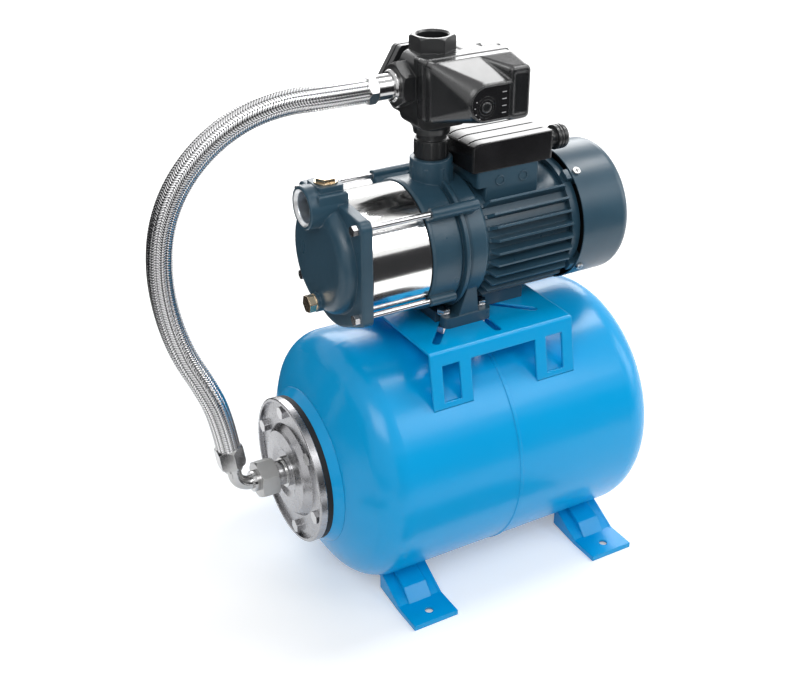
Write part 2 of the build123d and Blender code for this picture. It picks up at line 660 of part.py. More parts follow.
def impeller(x0):
    """Two shrouds with curved vanes between them on a hub."""
    shroud = 1.5
    wheel = tube_x(impeller_radius, hub_radius - 1, x0 + impeller_width - shroud, x0 + impeller_width,
                   0, pump_z)
    wheel += tube_x(impeller_radius, eye_radius, x0, x0 + shroud, 0, pump_z)
    wheel += tube_x(hub_radius, shaft_pump_radius + running_clearance, x0 + 1, x0 + impeller_width + 3,
                    0, pump_z)
    vane = curved_vane(eye_radius - 2, impeller_radius - 0.2, 7.0, 1.6, impeller_width - 2)
    for index in range(vane_count):
        wheel += Pos(x0 + 1, 0, pump_z) * Rot(360 / vane_count * index, 0, 0) * vane
    return wheel


diffusers = [diffuser(stage_x0 + stage_length * index) for index in range(stage_count)]
impellers = [impeller(stage_x0 + stage_length * index + 2) for index in range(stage_count)]

# Bracket: two drums with a rib, volute, outlet tower, rod bosses, pedestal and foot
seal_wall_x0 = bracket_face_x + 22
seal_wall_x1 = seal_wall_x0 + 12
rib_x = -42.0
bearing_width = 11.0
front_bearing_x = -31.0
bearing_outer = 17.5
pump_bracket = turned_x([
    (bracket_face_x, 0), (bracket_face_x, bracket_radius - 1.5), (bracket_face_x + 3, bracket_radius),
    (rib_x - 6, bracket_radius), (rib_x - 2, bracket_radius - 3), (rib_x + 4, bracket_radius - 4),
    (rib_x + 9, bracket_radius - 2), (bracket_end_x - 6, bracket_radius - 2),
    (bracket_end_x - 2, bracket_radius - 6), (bracket_end_x, bracket_radius - 8), (bracket_end_x, 0)], pump_z)
pump_bracket += tube_x(bracket_radius + 4, bracket_radius - 6, rib_x - 2, rib_x + 2, 0, pump_z)
for place_y, place_z in rod_places:
    reach = sqrt(place_y ** 2 + place_z ** 2)
    boss_x1 = bracket_face_x + (upper_boss_length if place_z > 0 else lower_boss_length)
    boss = rod_x(rod_boss_radius, bracket_face_x, boss_x1)
    boss += block(bracket_face_x, boss_x1, -rod_boss_radius + 1.5, rod_boss_radius - 1.5,
                  bracket_radius - 4 - reach, 0)
    turn = degrees(atan2(-place_y, place_z))
    pump_bracket += Pos(0, place_y, pump_z + place_z) * Rot(turn, 0, 0) * boss
tower_foot_z = pump_z + bracket_radius - 20
tower_column = extrude(RegularPolygon(tower_radius + 0.6, 8), tower_top_z - 8 - tower_foot_z)
pump_bracket += Pos(tower_x, 0, tower_foot_z) * tower_column
tower_ring = rod_z(tower_radius - 0.4, tower_foot_z, tower_top_z, tower_x, 0)
pump_bracket += fillet(tower_ring.edges().group_by(Axis.Z)[-1], 2.0)
foot_top_z = plate_top_z + foot_plate_thickness
foot_plate = block(foot_plate_x0, foot_plate_x1, -foot_plate_half_y, foot_plate_half_y, plate_top_z, foot_top_z)
foot_plate = fillet(foot_plate.edges().filter_by(Axis.Z), 7.0)
for bolt_x in (foot_bolt_x0, foot_bolt_x1):
    for bolt_y in (-foot_bolt_y, foot_bolt_y):
        notch_x = foot_plate_x0 - 1 if bolt_x < -30 else foot_plate_x1 + 1
        foot_plate -= rod_z(m8_shank + 0.6, plate_top_z - 1, foot_top_z + 1, bolt_x, bolt_y)
        foot_plate -= block(min(notch_x, bolt_x), max(notch_x, bolt_x), bolt_y - m8_shank - 0.6,
                            bolt_y + m8_shank + 0.6, plate_top_z - 1, foot_top_z + 1)
leg_top_z = pump_z - 28
wedge = Polyline((-41, foot_top_z - 1), (-17, foot_top_z - 1), (-21, leg_top_z), (-28, leg_top_z), close=True)
wedge_plate = extrude(Plane.XZ * make_face(wedge), foot_plate_half_y - 1, both=True)
wedge_plate -= block(-60, 0, -34, 34, foot_top_z - 2, leg_top_z + 1)
web = block(-30, -20, -50, 50, foot_top_z - 1, pump_z - 40)
pedestal = block(-50, -12, -24, 24, foot_top_z - 1, pump_z - 58)
pump_bracket += foot_plate + wedge_plate + web + pedestal
volute_radius = 61.0
pump_bracket -= rod_x(volute_radius, bracket_face_x - 1, seal_wall_x0, 0, pump_z)
pump_bracket -= rod_z(port_thread_radius, tower_top_z - port_thread_length, tower_top_z + 1, tower_x, 0)
pump_bracket -= rod_z(12.0, pump_z + 46, tower_top_z, tower_x, 0)
pump_bracket -= block(seal_wall_x0 - 1, tower_x, -10, 10, pump_z + 46, pump_z + 58)
seat_radius = 14.0
pump_bracket -= rod_x(seat_radius, seal_wall_x0 - 1, seal_wall_x0 + 6, 0, pump_z)
pump_bracket -= rod_x(9.0, seal_wall_x0, seal_wall_x1 + 30, 0, pump_z)
pump_bracket -= rod_x(bearing_outer + running_clearance, front_bearing_x, bracket_end_x + 1, 0, pump_z)
pump_bracket -= tube_x(52.0, 24.0, front_bearing_x + 2, bracket_end_x + 1, 0, pump_z)
for hole in tie_holes:
    pump_bracket -= hole

# Shaft seal
seal_gap = 0.3
seal_seat = tube_x(seat_radius - 0.1, 8.0, seal_wall_x0, seal_wall_x0 + 6, 0, pump_z)
seal_rotor = turned_x([
    (seal_wall_x0 - seal_gap, shaft_pump_radius + running_clearance), (seal_wall_x0 - seal_gap, 11.5),
    (seal_wall_x0 - 4, 11.5), (seal_wall_x0 - 4, 13.0), (seal_wall_x0 - 15, 13.0),
    (seal_wall_x0 - 15, shaft_pump_radius + running_clearance)], pump_z)

# Foot bolts with nuts under the platform
foot_bolt_parts = []
for bolt_x in (foot_bolt_x0, foot_bolt_x1):
    for bolt_y in (-foot_bolt_y, foot_bolt_y):
        bolt = Pos(0, 0, foot_top_z) * (hex_bar(m8_head_flats, m8_head_height) + rod_z(7.8, 0, 1.6))
        bolt += rod_z(m8_shank, plate_bottom_z - 9, foot_top_z)
        bolt += Pos(0, 0, plate_bottom_z - 6.5) * hex_bar(m8_head_flats, 6.5)
        foot_bolt_parts.append(Pos(bolt_x, bolt_y, 0) * bolt)
foot_bolts = Compound(foot_bolt_parts)

# Motor frame: finned tube with the terminal box base and a rest under it
spigot_x = bracket_end_x
box_sector = 34.0
frame_section = Circle(frame_root_radius)
fin = make_face(Polyline((frame_root_radius - 2, -fin_root_width / 2), (fin_tip_radius, -fin_tip_width / 2),
                         (fin_tip_radius, fin_tip_width / 2), (frame_root_radius - 2, fin_root_width / 2),
                         close=True))
fin_angle = -90.0
while fin_angle < 270.0 - 0.1:
    if abs(fin_angle - 90.0) > box_sector:
        frame_section += Rot(0, 0, fin_angle) * fin
    fin_angle += fin_pitch
frame_section -= Circle(frame_bore)
finned_tube = Pos(spigot_x, 0, pump_z) * extrude(Plane.YZ * frame_section, frame_end_x - spigot_x)
fin_end = 7.0
fin_envelope = turned_x([(spigot_x, 0), (spigot_x, frame_root_radius + 2), (spigot_x + 2, frame_root_radius + 3),
                         (spigot_x + fin_end, fin_tip_radius + 1), (frame_end_x - 3, fin_tip_radius + 1),
                         (frame_end_x, fin_tip_radius - 4), (frame_end_x, 0)], pump_z)
motor_frame = finned_tube & fin_envelope
motor_frame -= block(spigot_x - 1, foot_plate_x1 + 0.5, -foot_plate_half_y, foot_plate_half_y, plate_top_z,
                     foot_top_z + 0.3)
box_base = block(box_x0 + 10, box_x1, -box_half_width, box_half_width, pump_z + 40, box_top_z)
box_base += block(box_x0, box_x0 + 11, -box_half_width, box_half_width, pump_z + 62, box_top_z)
box_base = fillet(box_base.edges().filter_by(Axis.Z), 3.0)
box_base -= rod_x(frame_root_radius - 1, box_x0 - 5, box_x1 + 5, 0, pump_z)
box_base -= rod_x(bracket_radius + 0.3, box_x0 - 5, spigot_x, 0, pump_z)
box_floor_z = pump_z + frame_root_radius + 5
box_base -= block(box_x0 + 12, box_x1 - box_wall, -box_half_width + box_wall, box_half_width - box_wall,
                  box_floor_z, box_top_z + 1)
knockout_radius = 5.5
knockout_z = box_top_z - 13
for knockout_x in (14.0, 42.4):
    for side in (-1, 1):
        y_out = side * box_half_width
        ring = rod_y(knockout_radius, min(y_out, y_out + side), max(y_out, y_out + side),
                     knockout_x, knockout_z)
        ring -= rod_y(knockout_radius - 1.2, -60, 60, knockout_x, knockout_z)
        box_base += ring
motor_frame += box_base
rest_x0 = 4.0
rest_x1 = 56.0
motor_rest = block(rest_x0, rest_x1, -30, 30, plate_top_z, pump_z - frame_root_radius)
motor_frame += motor_rest - rod_x(frame_root_radius - 2, rest_x0 - 1, rest_x1 + 1, 0, pump_z)

# Stator, windings and rotor
core_x1 = core_x0 + core_length
stator_bore = rotor_radius + air_gap
stator = tube_x(frame_bore - 0.1, stator_bore, core_x0, core_x1, 0, pump_z)
winding_depth = 11.0
stator_windings = Compound([
    tube_x(frame_bore - 5, stator_bore + 4, core_x0 - winding_depth, core_x0, 0, pump_z),
    tube_x(frame_bore - 5, stator_bore + 4, core_x1, core_x1 + winding_depth, 0, pump_z)])
rotor_core = tube_x(rotor_radius, shaft_core_radius + running_clearance, core_x0, core_x1, 0, pump_z)

# Shaft with its steps, from the first impeller to the fan
shaft_x0 = stage_x0 + 1.0
rear_bearing_x = frame_end_x + 0.5
rear_bearing_width = 9.0
rear_bearing_outer = 15.0
fan_x0 = 116.0
fan_width = 18.0
shaft_x1 = fan_x0 + fan_width - 2
step_x = front_bearing_x - 6
motor_shaft = turned_x([
    (shaft_x0, 0), (shaft_x0, shaft_pump_radius), (step_x, shaft_pump_radius), (step_x, shaft_bearing_radius),
    (front_bearing_x + bearing_width + 3, shaft_bearing_radius),
    (front_bearing_x + bearing_width + 3, shaft_core_radius), (rear_bearing_x - 3, shaft_core_radius),
    (rear_bearing_x - 3, shaft_pump_radius), (shaft_x1, shaft_pump_radius), (shaft_x1, 0)], pump_z)
nut_length = 5.0
impeller_nut = hex_x(13.0, stage_x0 - nut_length - 3, stage_x0 + 0.8, 0, pump_z)
bearings = Compound([
    tube_x(bearing_outer, shaft_bearing_radius + running_clearance, front_bearing_x,
           front_bearing_x + bearing_width, 0, pump_z),
    tube_x(rear_bearing_outer, shaft_pump_radius + running_clearance, rear_bearing_x,
           rear_bearing_x + rear_bearing_width, 0, pump_z)])

# Rear end shield with four lugs that carry the fan cover
shield_x1 = frame_end_x + shield_thickness
lug_x1 = shield_x1 + 14.0
cover_inner = cover_radius - cover_sheet
end_shield = rod_x(shield_radius, frame_end_x, shield_x1, 0, pump_z)
lug = block(frame_end_x + 3, lug_x1, -6, 6, shield_radius - 8, cover_inner + 2)
for index in range(4):
    angle = cover_screw_angle + 90 * index
    end_shield += Pos(0, 0, pump_z) * Rot(90 - angle, 0, 0) * lug
end_shield &= rod_x(cover_inner - 0.1, frame_end_x, lug_x1, 0, pump_z)
end_shield -= rod_x(rear_bearing_outer + running_clearance, frame_end_x - 1, rear_bearing_x + rear_bearing_width,
                    0, pump_z)
end_shield -= rod_x(shaft_pump_radius + 1, frame_end_x - 1, shield_x1 + 1, 0, pump_z)
cover_screw_x = cover_x0 + 7.0
cover_screw = rod_z(2.0, cover_inner - 7, cover_radius) + rod_z(4.2, cover_radius, cover_radius + 2.4)
screw_cross = block(-2.6, 2.6, -0.45, 0.45, cover_radius + 1.2, cover_radius + 3)
cover_screw -= screw_cross + Rot(0, 0, 90) * screw_cross
cover_hole = rod_z(2.05, cover_inner - 8, cover_radius + 1)
cover_screw_parts = []
cover_holes = []
for index in range(4):
    angle = cover_screw_angle + 90 * index
    place = Pos(cover_screw_x, 0, pump_z) * Rot(90 - angle, 0, 0)
    cover_screw_parts.append(place * cover_screw)
    cover_holes.append(place * cover_hole)
fan_cover_screws = Compound(cover_screw_parts)

# Fan cover: drawn cup with a rounded back edge and radial air slots
cover_cup = rod_x(cover_radius, cover_x0, cover_x1, 0, pump_z)
cover_cup = fillet(cover_cup.edges().group_by(Axis.X)[-1], cover_round)
cover_hollow = rod_x(cover_inner, cover_x0 - 1, cover_x1 - cover_sheet, 0, pump_z)
cover_hollow = fillet(cover_hollow.edges().group_by(Axis.X)[-1], cover_round - cover_sheet)
fan_cover = cover_cup - cover_hollow
air_slot_width = 3.6
slot_cut = block(cover_x1 - 5, cover_x1 + 1, -air_slot_width / 2, air_slot_width / 2, 26,
                 cover_radius - cover_round - 4)
for index in range(20):
    fan_cover -= Pos(0, 0, pump_z) * Rot(18 * index, 0, 0) * slot_cut
for hole in cover_holes:
    end_shield -= hole
    fan_cover -= hole

# Fan: hub, web and straight blades
cooling_fan = tube_x(13.0, shaft_pump_radius + running_clearance, fan_x0 - 2, fan_x0 + fan_width, 0, pump_z)
cooling_fan += tube_x(34.0, 12.0, fan_x0, fan_x0 + 2.5, 0, pump_z)
blade = block(fan_x0, fan_x0 + fan_width, -1.1, 1.1, 11, fan_radius)
for index in range(fan_blades):
    cooling_fan += Pos(0, 0, pump_z) * Rot(360 / fan_blades * index, 0, 0) * blade

# Terminal box lid: hollow moulding with a sloped front and four grooves
lid_top_z = box_top_z + lid_height
lid_round = 14.0


def lid_outline(drop):
    """Side view of the lid with its rounded front, lowered by drop and moved back by it."""
    outline = Line((lid_x0 + drop, box_top_z), (lid_x0 + drop, lid_top_z - lid_round))
    outline += RadiusArc(outline @ 1, (lid_x0 + lid_round, lid_top_z - drop), lid_round - drop)
    outline += Polyline(outline @ 1, (lid_x1, lid_top_z - 1 - drop), (lid_x1, box_top_z), outline @ 0)
    return make_face(outline)


terminal_box_lid = extrude(Plane.XZ * lid_outline(0), lid_half_width, both=True)
terminal_box_lid = fillet(terminal_box_lid.edges().filter_by(Axis.Z), 3.5)
terminal_box_lid -= block(lid_x0 + lid_wall, lid_x1 - lid_wall, -lid_half_width + lid_wall,
                          lid_half_width - lid_wall, box_top_z - 1, lid_top_z - lid_round)
overhang = block(box_x1 - box_wall, lid_x1 - 1, -lid_half_width + 1, lid_half_width - 1, box_top_z,
                 box_top_z + lid_wall)
terminal_box_lid += overhang
groove_depth = 1.3
groove_cut = block(lid_x0 - 1, lid_x1 - 5, -1.1, 1.1, lid_top_z - lid_round, lid_top_z + 2)
groove_cut -= extrude(Plane.XZ * lid_outline(groove_depth), 2.0, both=True)
groove_pitch = 18.3
groove_start_y = -29.5
for index in range(4):
    terminal_box_lid -= Pos(0, groove_start_y + index * groove_pitch, 0) * groove_cut
gland_z = box_top_z + lid_height / 2
gland_bore = 4.5
terminal_box_lid -= rod_x(7.0, lid_x1 - 5, lid_x1 + 1, gland_y, gland_z)

capacitor_radius = 14.0
capacitor_z = box_floor_z + capacitor_radius + 0.3
capacitor = rod_x(capacitor_radius, box_x0 + 16, box_x0 + 72, 20, capacitor_z)
capacitor = fillet(capacitor.edges().group_by(Axis.X)[0], 2.0)
terminal_block = block(0, 44, -30, -12, box_floor_z, box_floor_z + 14)
for index in range(3):
    terminal_block -= rod_z(3.0, box_floor_z + 9, box_floor_z + 15, 8 + 14 * index, -21)
cable_gland = rod_x(6.9, lid_x1 - 4, lid_x1 + 1, gland_y, gland_z)
cable_gland += hex_x(20.0, lid_x1, lid_x1 + 6, gland_y, gland_z)
cable_gland += rod_x(9.0, lid_x1 + 6, lid_x1 + 12, gland_y, gland_z)
gland_nut = rod_x(gland_radius, lid_x1 + 12, lid_x1 + 26, gland_y, gland_z)
cable_gland += fillet(gland_nut.edges().group_by(Axis.X)[-1], 4.0)
for groove_x in (lid_x1 + 15, lid_x1 + 18.5):
    cable_gland -= tube_x(gland_radius + 1, gland_radius - 1.0, groove_x, groove_x + 1.2, gland_y, gland_z)
cable_gland -= rod_x(gland_bore, lid_x1 - 5, lid_x1 + 27, gland_y, gland_z)

# Outlet nipple between the pump and the controller
nipple_waist_z = ctrl_bottom_z - 17
thread_length = 15.0
nipple_thread_radius = port_thread_radius - thread_clearance
grip_radius = nipple_thread_radius + 1.8
way_radius = port_thread_radius - 4.5
outlet_nipple = turned_z([
    (way_radius, tower_top_z - thread_length), (nipple_thread_radius, tower_top_z - thread_length),
    (nipple_thread_radius, tower_top_z), (grip_radius, tower_top_z), (grip_radius, nipple_waist_z),
    (nipple_thread_radius, nipple_waist_z + 1), (nipple_thread_radius, ctrl_bottom_z + 4),
    (way_radius, ctrl_bottom_z + 4)], tower_x)
grip_rib = block(grip_radius - 0.8, grip_radius + 0.7, -1.4, 1.4, 0, nipple_waist_z - tower_top_z - 3)
for index in range(12):
    outlet_nipple += Pos(tower_x, 0, tower_top_z + 1.5) * Rot(0, 0, 30 * index) * grip_rib

def cap_plate(inset, y0, y1):
    """Six-cornered plate with round corners that the rear cap is screwed to."""
    wide = cap_half_width - inset
    high = cap_half_height - inset
    short = cap_corner_x - inset / 2
    outline = Polyline((wide, 0), (short, high), (-short, high), (-wide, 0), (-short, -high), (short, -high),
                       close=True)
    face = fillet(make_face(outline).vertices(), 6.0)
    return Pos(ctrl_x, y1, cap_z) * extrude(Plane.XZ * face, y1 - y0)


# Controller water block: rounded body, three hexagon ports, mounting plate and gland lug
ctrl_x0 = ctrl_x - ctrl_half_width
ctrl_x1 = ctrl_x + ctrl_half_width
plate_depth = 8.0
controller_body = block(ctrl_x0, ctrl_x1, ctrl_front_y, ctrl_rear_y, ctrl_bottom_z, ctrl_top_z)
controller_body = fillet(controller_body.edges().filter_by(Axis.Y), ctrl_round)
top_hexagon = Pos(ctrl_x, 0, ctrl_top_z - 4) * hex_bar(port_hex_flats, top_port_z - ctrl_top_z + 4, 30)
controller_body += top_hexagon & turned_z([
    (0, ctrl_top_z - 5), (port_hex_flats, ctrl_top_z - 5), (port_hex_flats, top_port_z - 17),
    (port_hex_flats / 2 + 0.4, top_port_z), (0, top_port_z)], ctrl_x)
side_hexagon = hex_x(port_hex_flats, side_port_x, ctrl_x0 + 4, 0, side_port_z)
controller_body += side_hexagon & turned_x([
    (side_port_x, 0), (side_port_x, port_hex_flats / 2 + 0.4), (side_port_x + 17, port_hex_flats),
    (ctrl_x0 + 5, port_hex_flats), (ctrl_x0 + 5, 0)], side_port_z)
neck_z = ctrl_bottom_z - 10
controller_body += turned_z([(0, neck_z), (18.5, neck_z), (19.5, ctrl_bottom_z - 4), (23, ctrl_bottom_z + 1),
                             (0, ctrl_bottom_z + 1)], ctrl_x)
rim_plate = block(ctrl_x0, cover_x_right - 2, ctrl_front_y, ctrl_front_y + plate_depth, cover_bottom_z, ctrl_top_z)
controller_body += fillet(rim_plate.edges().filter_by(Axis.Y), 3.0)
lug_x = ctrl_x1 + 19.5
gland_line_y = 3.0
gland_lug = block(ctrl_x1 - 8, lug_x, ctrl_front_y + 2, ctrl_rear_y, cover_bottom_z + 6, ctrl_top_z)
controller_body += fillet(gland_lug.edges().filter_by(Axis.Y), 5.0)
controller_body += rod_y(cap_dome_radius, ctrl_rear_y - 1, cap_seat_y - 5, ctrl_x, cap_z)
controller_body += cap_plate(0, cap_seat_y - 6, cap_seat_y)
seat_z = ctrl_bottom_z + 8
controller_body -= rod_z(port_thread_radius, neck_z - 1, ctrl_bottom_z + 5, ctrl_x, 0)
controller_body -= rod_z(valve_radius - 2, neck_z, seat_z + 1, ctrl_x, 0)
controller_body -= rod_z(waterway_radius, seat_z, top_port_z, ctrl_x, 0)
controller_body -= rod_z(port_thread_radius, top_port_z - port_thread_length, top_port_z + 1, ctrl_x, 0)
mouth_chamfer = 1.8
mouth_cone = Cone(port_thread_radius, port_thread_radius + mouth_chamfer, mouth_chamfer, align=BASE)
controller_body -= Pos(ctrl_x, 0, top_port_z - mouth_chamfer) * mouth_cone
controller_body -= rod_x(port_thread_radius, side_port_x - 1, side_port_x + 15, 0, side_port_z)
controller_body -= rod_x(9.0, side_port_x, ctrl_x, 0, side_port_z)
chamber_radius = 26.0
controller_body -= rod_y(chamber_radius, ctrl_rear_y + 8, cap_seat_y + 1, ctrl_x, cap_z)
controller_body -= rod_y(2.0, 0, cap_seat_y, ctrl_x, side_port_z + 2)
guide_z = seat_z + 26
guide = block(ctrl_x - waterway_radius - 1, ctrl_x + waterway_radius + 1, -1.5, 1.5, guide_z, guide_z + 4)
guide += rod_z(4.0, guide_z, guide_z + 4, ctrl_x, 0)
controller_body += guide - rod_z(valve_stem_radius + 0.1, guide_z - 1, guide_z + 5, ctrl_x, 0)

# Flow valve and its spring
valve_z = seat_z + 0.3
flow_valve = rod_z(valve_radius, valve_z, valve_z + 3.5, ctrl_x, 0)
flow_valve += rod_z(valve_stem_radius, valve_z + 3, guide_z + 7, ctrl_x, 0)
spring_z0 = valve_z + 3.7
spring_height = guide_z - 0.2 - spring_z0
wire_radius = 0.6
spring_radius = 6.0
coil_height = spring_height - 2 * wire_radius
coil = Helix(coil_height / spring_coils, coil_height, spring_radius)
valve_spring = Pos(ctrl_x, 0, spring_z0 + wire_radius) * sweep(
    Plane(coil @ 0, z_dir=coil % 0) * RegularPolygon(wire_radius, 6), path=coil)

# Diaphragm, its cap and screws
cap_face_y = cap_seat_y + 2.0
diaphragm = cap_plate(1.5, cap_seat_y, cap_face_y)
diaphragm_cap = cap_plate(0, cap_face_y, cap_face_y + 6)
diaphragm_cap += turned_y([
    (0, cap_face_y), (0, cap_face_y + cap_depth), (cap_dome_radius - 9, cap_face_y + cap_depth),
    (cap_dome_radius - 2, cap_face_y + cap_depth - 5), (cap_dome_radius, cap_face_y + 7),
    (cap_dome_radius, cap_face_y)], ctrl_x, cap_z)
diaphragm_cap -= turned_y([
    (0, cap_face_y - 1), (0, cap_face_y + cap_depth - 3), (cap_dome_radius - 11, cap_face_y + cap_depth - 3),
    (cap_dome_radius - 4, cap_face_y + cap_depth - 7), (cap_dome_radius - 3, cap_face_y),
    (cap_dome_radius - 3, cap_face_y - 1)], ctrl_x, cap_z)
cap_screw_parts = []
screw_inset = 6.5
for side_x, side_z in ((1, 0), (0.5, 1), (-0.5, 1), (-1, 0), (-0.5, -1), (0.5, -1)):
    reach_x = cap_half_width - screw_inset if side_z == 0 else cap_corner_x - 1.5
    screw_x = ctrl_x + reach_x * (1 if side_x > 0 else -1)
    screw_z = cap_z + side_z * (cap_half_height - screw_inset + 1)
    screw = rod_y(1.6, cap_seat_y - 5, cap_face_y + 5, screw_x, screw_z)
    screw += rod_y(3.2, cap_face_y + 5.6, cap_face_y + 8.2, screw_x, screw_z)
    screw += rod_y(1.6, cap_face_y + 5, cap_face_y + 6, screw_x, screw_z)
    hole = rod_y(1.8, cap_seat_y - 5.5, cap_face_y + 9, screw_x, screw_z)
    diaphragm -= hole
    diaphragm_cap -= rod_y(3.6, cap_face_y + 5.6, cap_face_y + 9, screw_x, screw_z) + hole
    controller_body -= hole
    cap_screw_parts.append(screw)
cap_screws = Compound(cap_screw_parts)


# Electronics cover: skirt, shoulder, tapered left part and the taller right part
def rounded(x0, x1, z0, z1, left, right):
    """Rectangle in X and Z with its own corner radius on each side."""
    face = Pos((x0 + x1) / 2, (z0 + z1) / 2) * Rectangle(x1 - x0, z1 - z0)
    corners = face.vertices().sort_by(Axis.X)
    face = fillet(corners[:2], left)
    corners = face.vertices().sort_by(Axis.X)[-2:]
    return fillet(corners, right)


def at_y(y, face):
    """A face drawn in X and Z, set at y."""
    return Pos(0, y, 0) * (Plane.XZ * face)


def cover_block(back, front, edge):
    """Block that tapers from a back outline to a front outline with a rounded front edge.

    An outline is (x0, x1, z0, z1, left corner radius, right corner radius).
    """
    sections = [at_y(cover_shoulder_y, rounded(*back)), at_y(panel_y + edge, rounded(*front))]
    x0, x1, z0, z1, left, right = front
    for depth, inset in ((0.3 * edge, 0.3 * edge), (0.0, edge)):
        sections.append(at_y(panel_y + depth, rounded(x0 + inset, x1 - inset, z0 + inset, z1 - inset,
                                                      max(left - inset, 0.5), max(right - inset, 0.5))))
    return loft(sections, ruled=True)


cover_left_x = ctrl_x0 + 1
skirt_y = ctrl_front_y - cover_skirt
electronics_cover = block(ctrl_x0 - 0.8, cover_x_right - 1.2, skirt_y, ctrl_front_y, cover_bottom_z - 0.8,
                          ctrl_top_z + 0.8)
electronics_cover = fillet(electronics_cover.edges().filter_by(Axis.Y), 4.0)
panel_edge = 2.5
electronics_cover += cover_block(
    (cover_left_x, block_back_x + 11, cover_bottom_z, ctrl_top_z, 7, 1),
    (panel_left_x, panel_right_x + 6, cover_bottom_z + 1, panel_top_z, 19, 1.5), panel_edge)
shoulder = block(cover_left_x, cover_x_right - 2, cover_shoulder_y, skirt_y, cover_bottom_z, ctrl_top_z)
electronics_cover += fillet(shoulder.edges().filter_by(Axis.Y), 5.0)
block_edge = 3.5
electronics_cover += cover_block(
    (block_back_x, cover_x_right - 2, cover_bottom_z, ctrl_top_z, 2, 5),
    (panel_right_x, cover_x_right, cover_bottom_z - 1, block_top_z, 4.5, 6), block_edge)
label_seat = rounded(panel_right_x + 4.5, cover_x_right - 4.5, cover_bottom_z + 5, block_top_z - 6, 2.5, 2.5)
electronics_cover -= extrude(at_y(panel_y - 1, label_seat), -1.7)
panel_recess = 1.5
recess_gap = 0.2
panel_inset = 3.0
panel_shape = rounded(panel_left_x + panel_inset, panel_right_x - 1, cover_bottom_z + 1 + panel_inset,
                      panel_top_z - panel_inset, 16.0, 1)
electronics_cover -= extrude(at_y(panel_y - 1, panel_shape), -panel_recess - 1)
cavity_x1 = cover_x_right - 6
electronics_cover -= block(ctrl_x0 + 6, cavity_x1, cover_shoulder_y + 2, ctrl_front_y + 1, cover_bottom_z + 4,
                           ctrl_top_z - 5)
electronics_cover -= block(panel_left_x + 8, cavity_x1 - 4, panel_y + 5, cover_shoulder_y + 3,
                           cover_bottom_z + 5, panel_top_z - 8)
button_hole = rod_y(button_radius + 0.3, panel_y - 2, panel_y + 6, button_x, button_z)
electronics_cover -= button_hole
control_panel = extrude(at_y(panel_y + panel_recess, rounded(
    panel_left_x + panel_inset + recess_gap, panel_right_x - 1 - recess_gap,
    cover_bottom_z + 1 + panel_inset + recess_gap, panel_top_z - panel_inset - recess_gap, 15.8, 1)), 1.2)
control_panel -= button_hole

# Reset button and circuit board
button_front_y = panel_y - 0.8
button_stem_y1 = panel_y + 12
reset_button = rod_y(button_radius, button_front_y, panel_y + 4.5, button_x, button_z)
reset_button = fillet(reset_button.edges().group_by(Axis.Y)[0], 0.6)
reset_button += rod_y(2.5, panel_y + 4, button_stem_y1, button_x, button_z)
reset_button += rod_y(button_radius + 1.5, panel_y + 5.3, panel_y + 6.5, button_x, button_z)
circuit_board = block(ctrl_x0 + 8, cavity_x1 - 2, cover_shoulder_y + 8, cover_shoulder_y + 9.6,
                      cover_bottom_z + 6, ctrl_top_z - 7)
for post_x in (ctrl_x0 + 14, cavity_x1 - 8):
    circuit_board += rod_y(3.0, cover_shoulder_y + 9.6, ctrl_front_y, post_x, cover_bottom_z + 14)

# Cable glands on the lug
gland_parts = []
for gland_low_z in (cap_z + 20, cap_z - 4):
    stub = hex_x(20.0, lug_x, lug_x + 8, gland_line_y, gland_low_z)
    stub += rod_x(8.5, lug_x + 8, lug_x + 30, gland_line_y, gland_low_z)
    gland_parts.append(stub - rod_x(4.0, lug_x + 4, lug_x + 31, gland_line_y, gland_low_z))
controller_glands = Compound(gland_parts)

nodes = {
    "tank_shell": tank_shell,
    "tank_neck_ring": tank_neck_ring,
    "tank_membrane": tank_membrane,
    "tank_flange": tank_flange,
    "flange_bolts": flange_bolts,
    "tank_foot_front": tank_foot_front,
    "tank_foot_rear": tank_foot_rear,
    "pump_platform": pump_platform,
    "air_valve_body": air_valve_body,
    "air_valve_cap": air_valve_cap,
    "flange_nipple": flange_nipple,
    "union_nut": union_nut,
    "union_elbow": union_elbow,
    "hose_lower_nut": hose_lower_nut,
    "braided_hose": braided_hose,
    "hose_upper_nut": hose_upper_nut,
    "port_bush": port_bush,
    "controller_body": controller_body,
    "diaphragm_cap": diaphragm_cap,
    "diaphragm": diaphragm,
    "cap_screws": cap_screws,
    "electronics_cover": electronics_cover,
    "control_panel": control_panel,
    "reset_button": reset_button,
    "circuit_board": circuit_board,
    "flow_valve": flow_valve,
    "valve_spring": valve_spring,
    "controller_glands": controller_glands,
    "outlet_nipple": outlet_nipple,
    "suction_casing": suction_casing,
    "priming_plug": priming_plug,
    "drain_plug": drain_plug,
    "pump_sleeve": pump_sleeve,
    "sleeve_seals": sleeve_seals,
    "tie_bolts": tie_bolts,
    "impeller_nut": impeller_nut,
    "seal_rotor": seal_rotor,
    "seal_seat": seal_seat,
    "pump_bracket": pump_bracket,
    "foot_bolts": foot_bolts,
    "motor_frame": motor_frame,
    "stator": stator,
    "stator_windings": stator_windings,
    "rotor_core": rotor_core,
    "motor_shaft": motor_shaft,
    "bearings": bearings,
    "end_shield": end_shield,
    "cooling_fan": cooling_fan,
    "fan_cover": fan_cover,
    "fan_cover_screws": fan_cover_screws,
    "terminal_box_lid": terminal_box_lid,
    "capacitor": capacitor,
    "terminal_block": terminal_block,
    "cable_gland": cable_gland,
}
for number in range(stage_count):
    nodes[f"impeller_{number + 1}"] = impellers[number]
    nodes[f"diffuser_{number + 1}"] = diffusers[number]

os.makedirs("parts", exist_ok=True)
for name, shape in nodes.items():
    export_step(shape, f"parts/{name}.step")
print("nodes", len(nodes))
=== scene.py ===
import json
import math

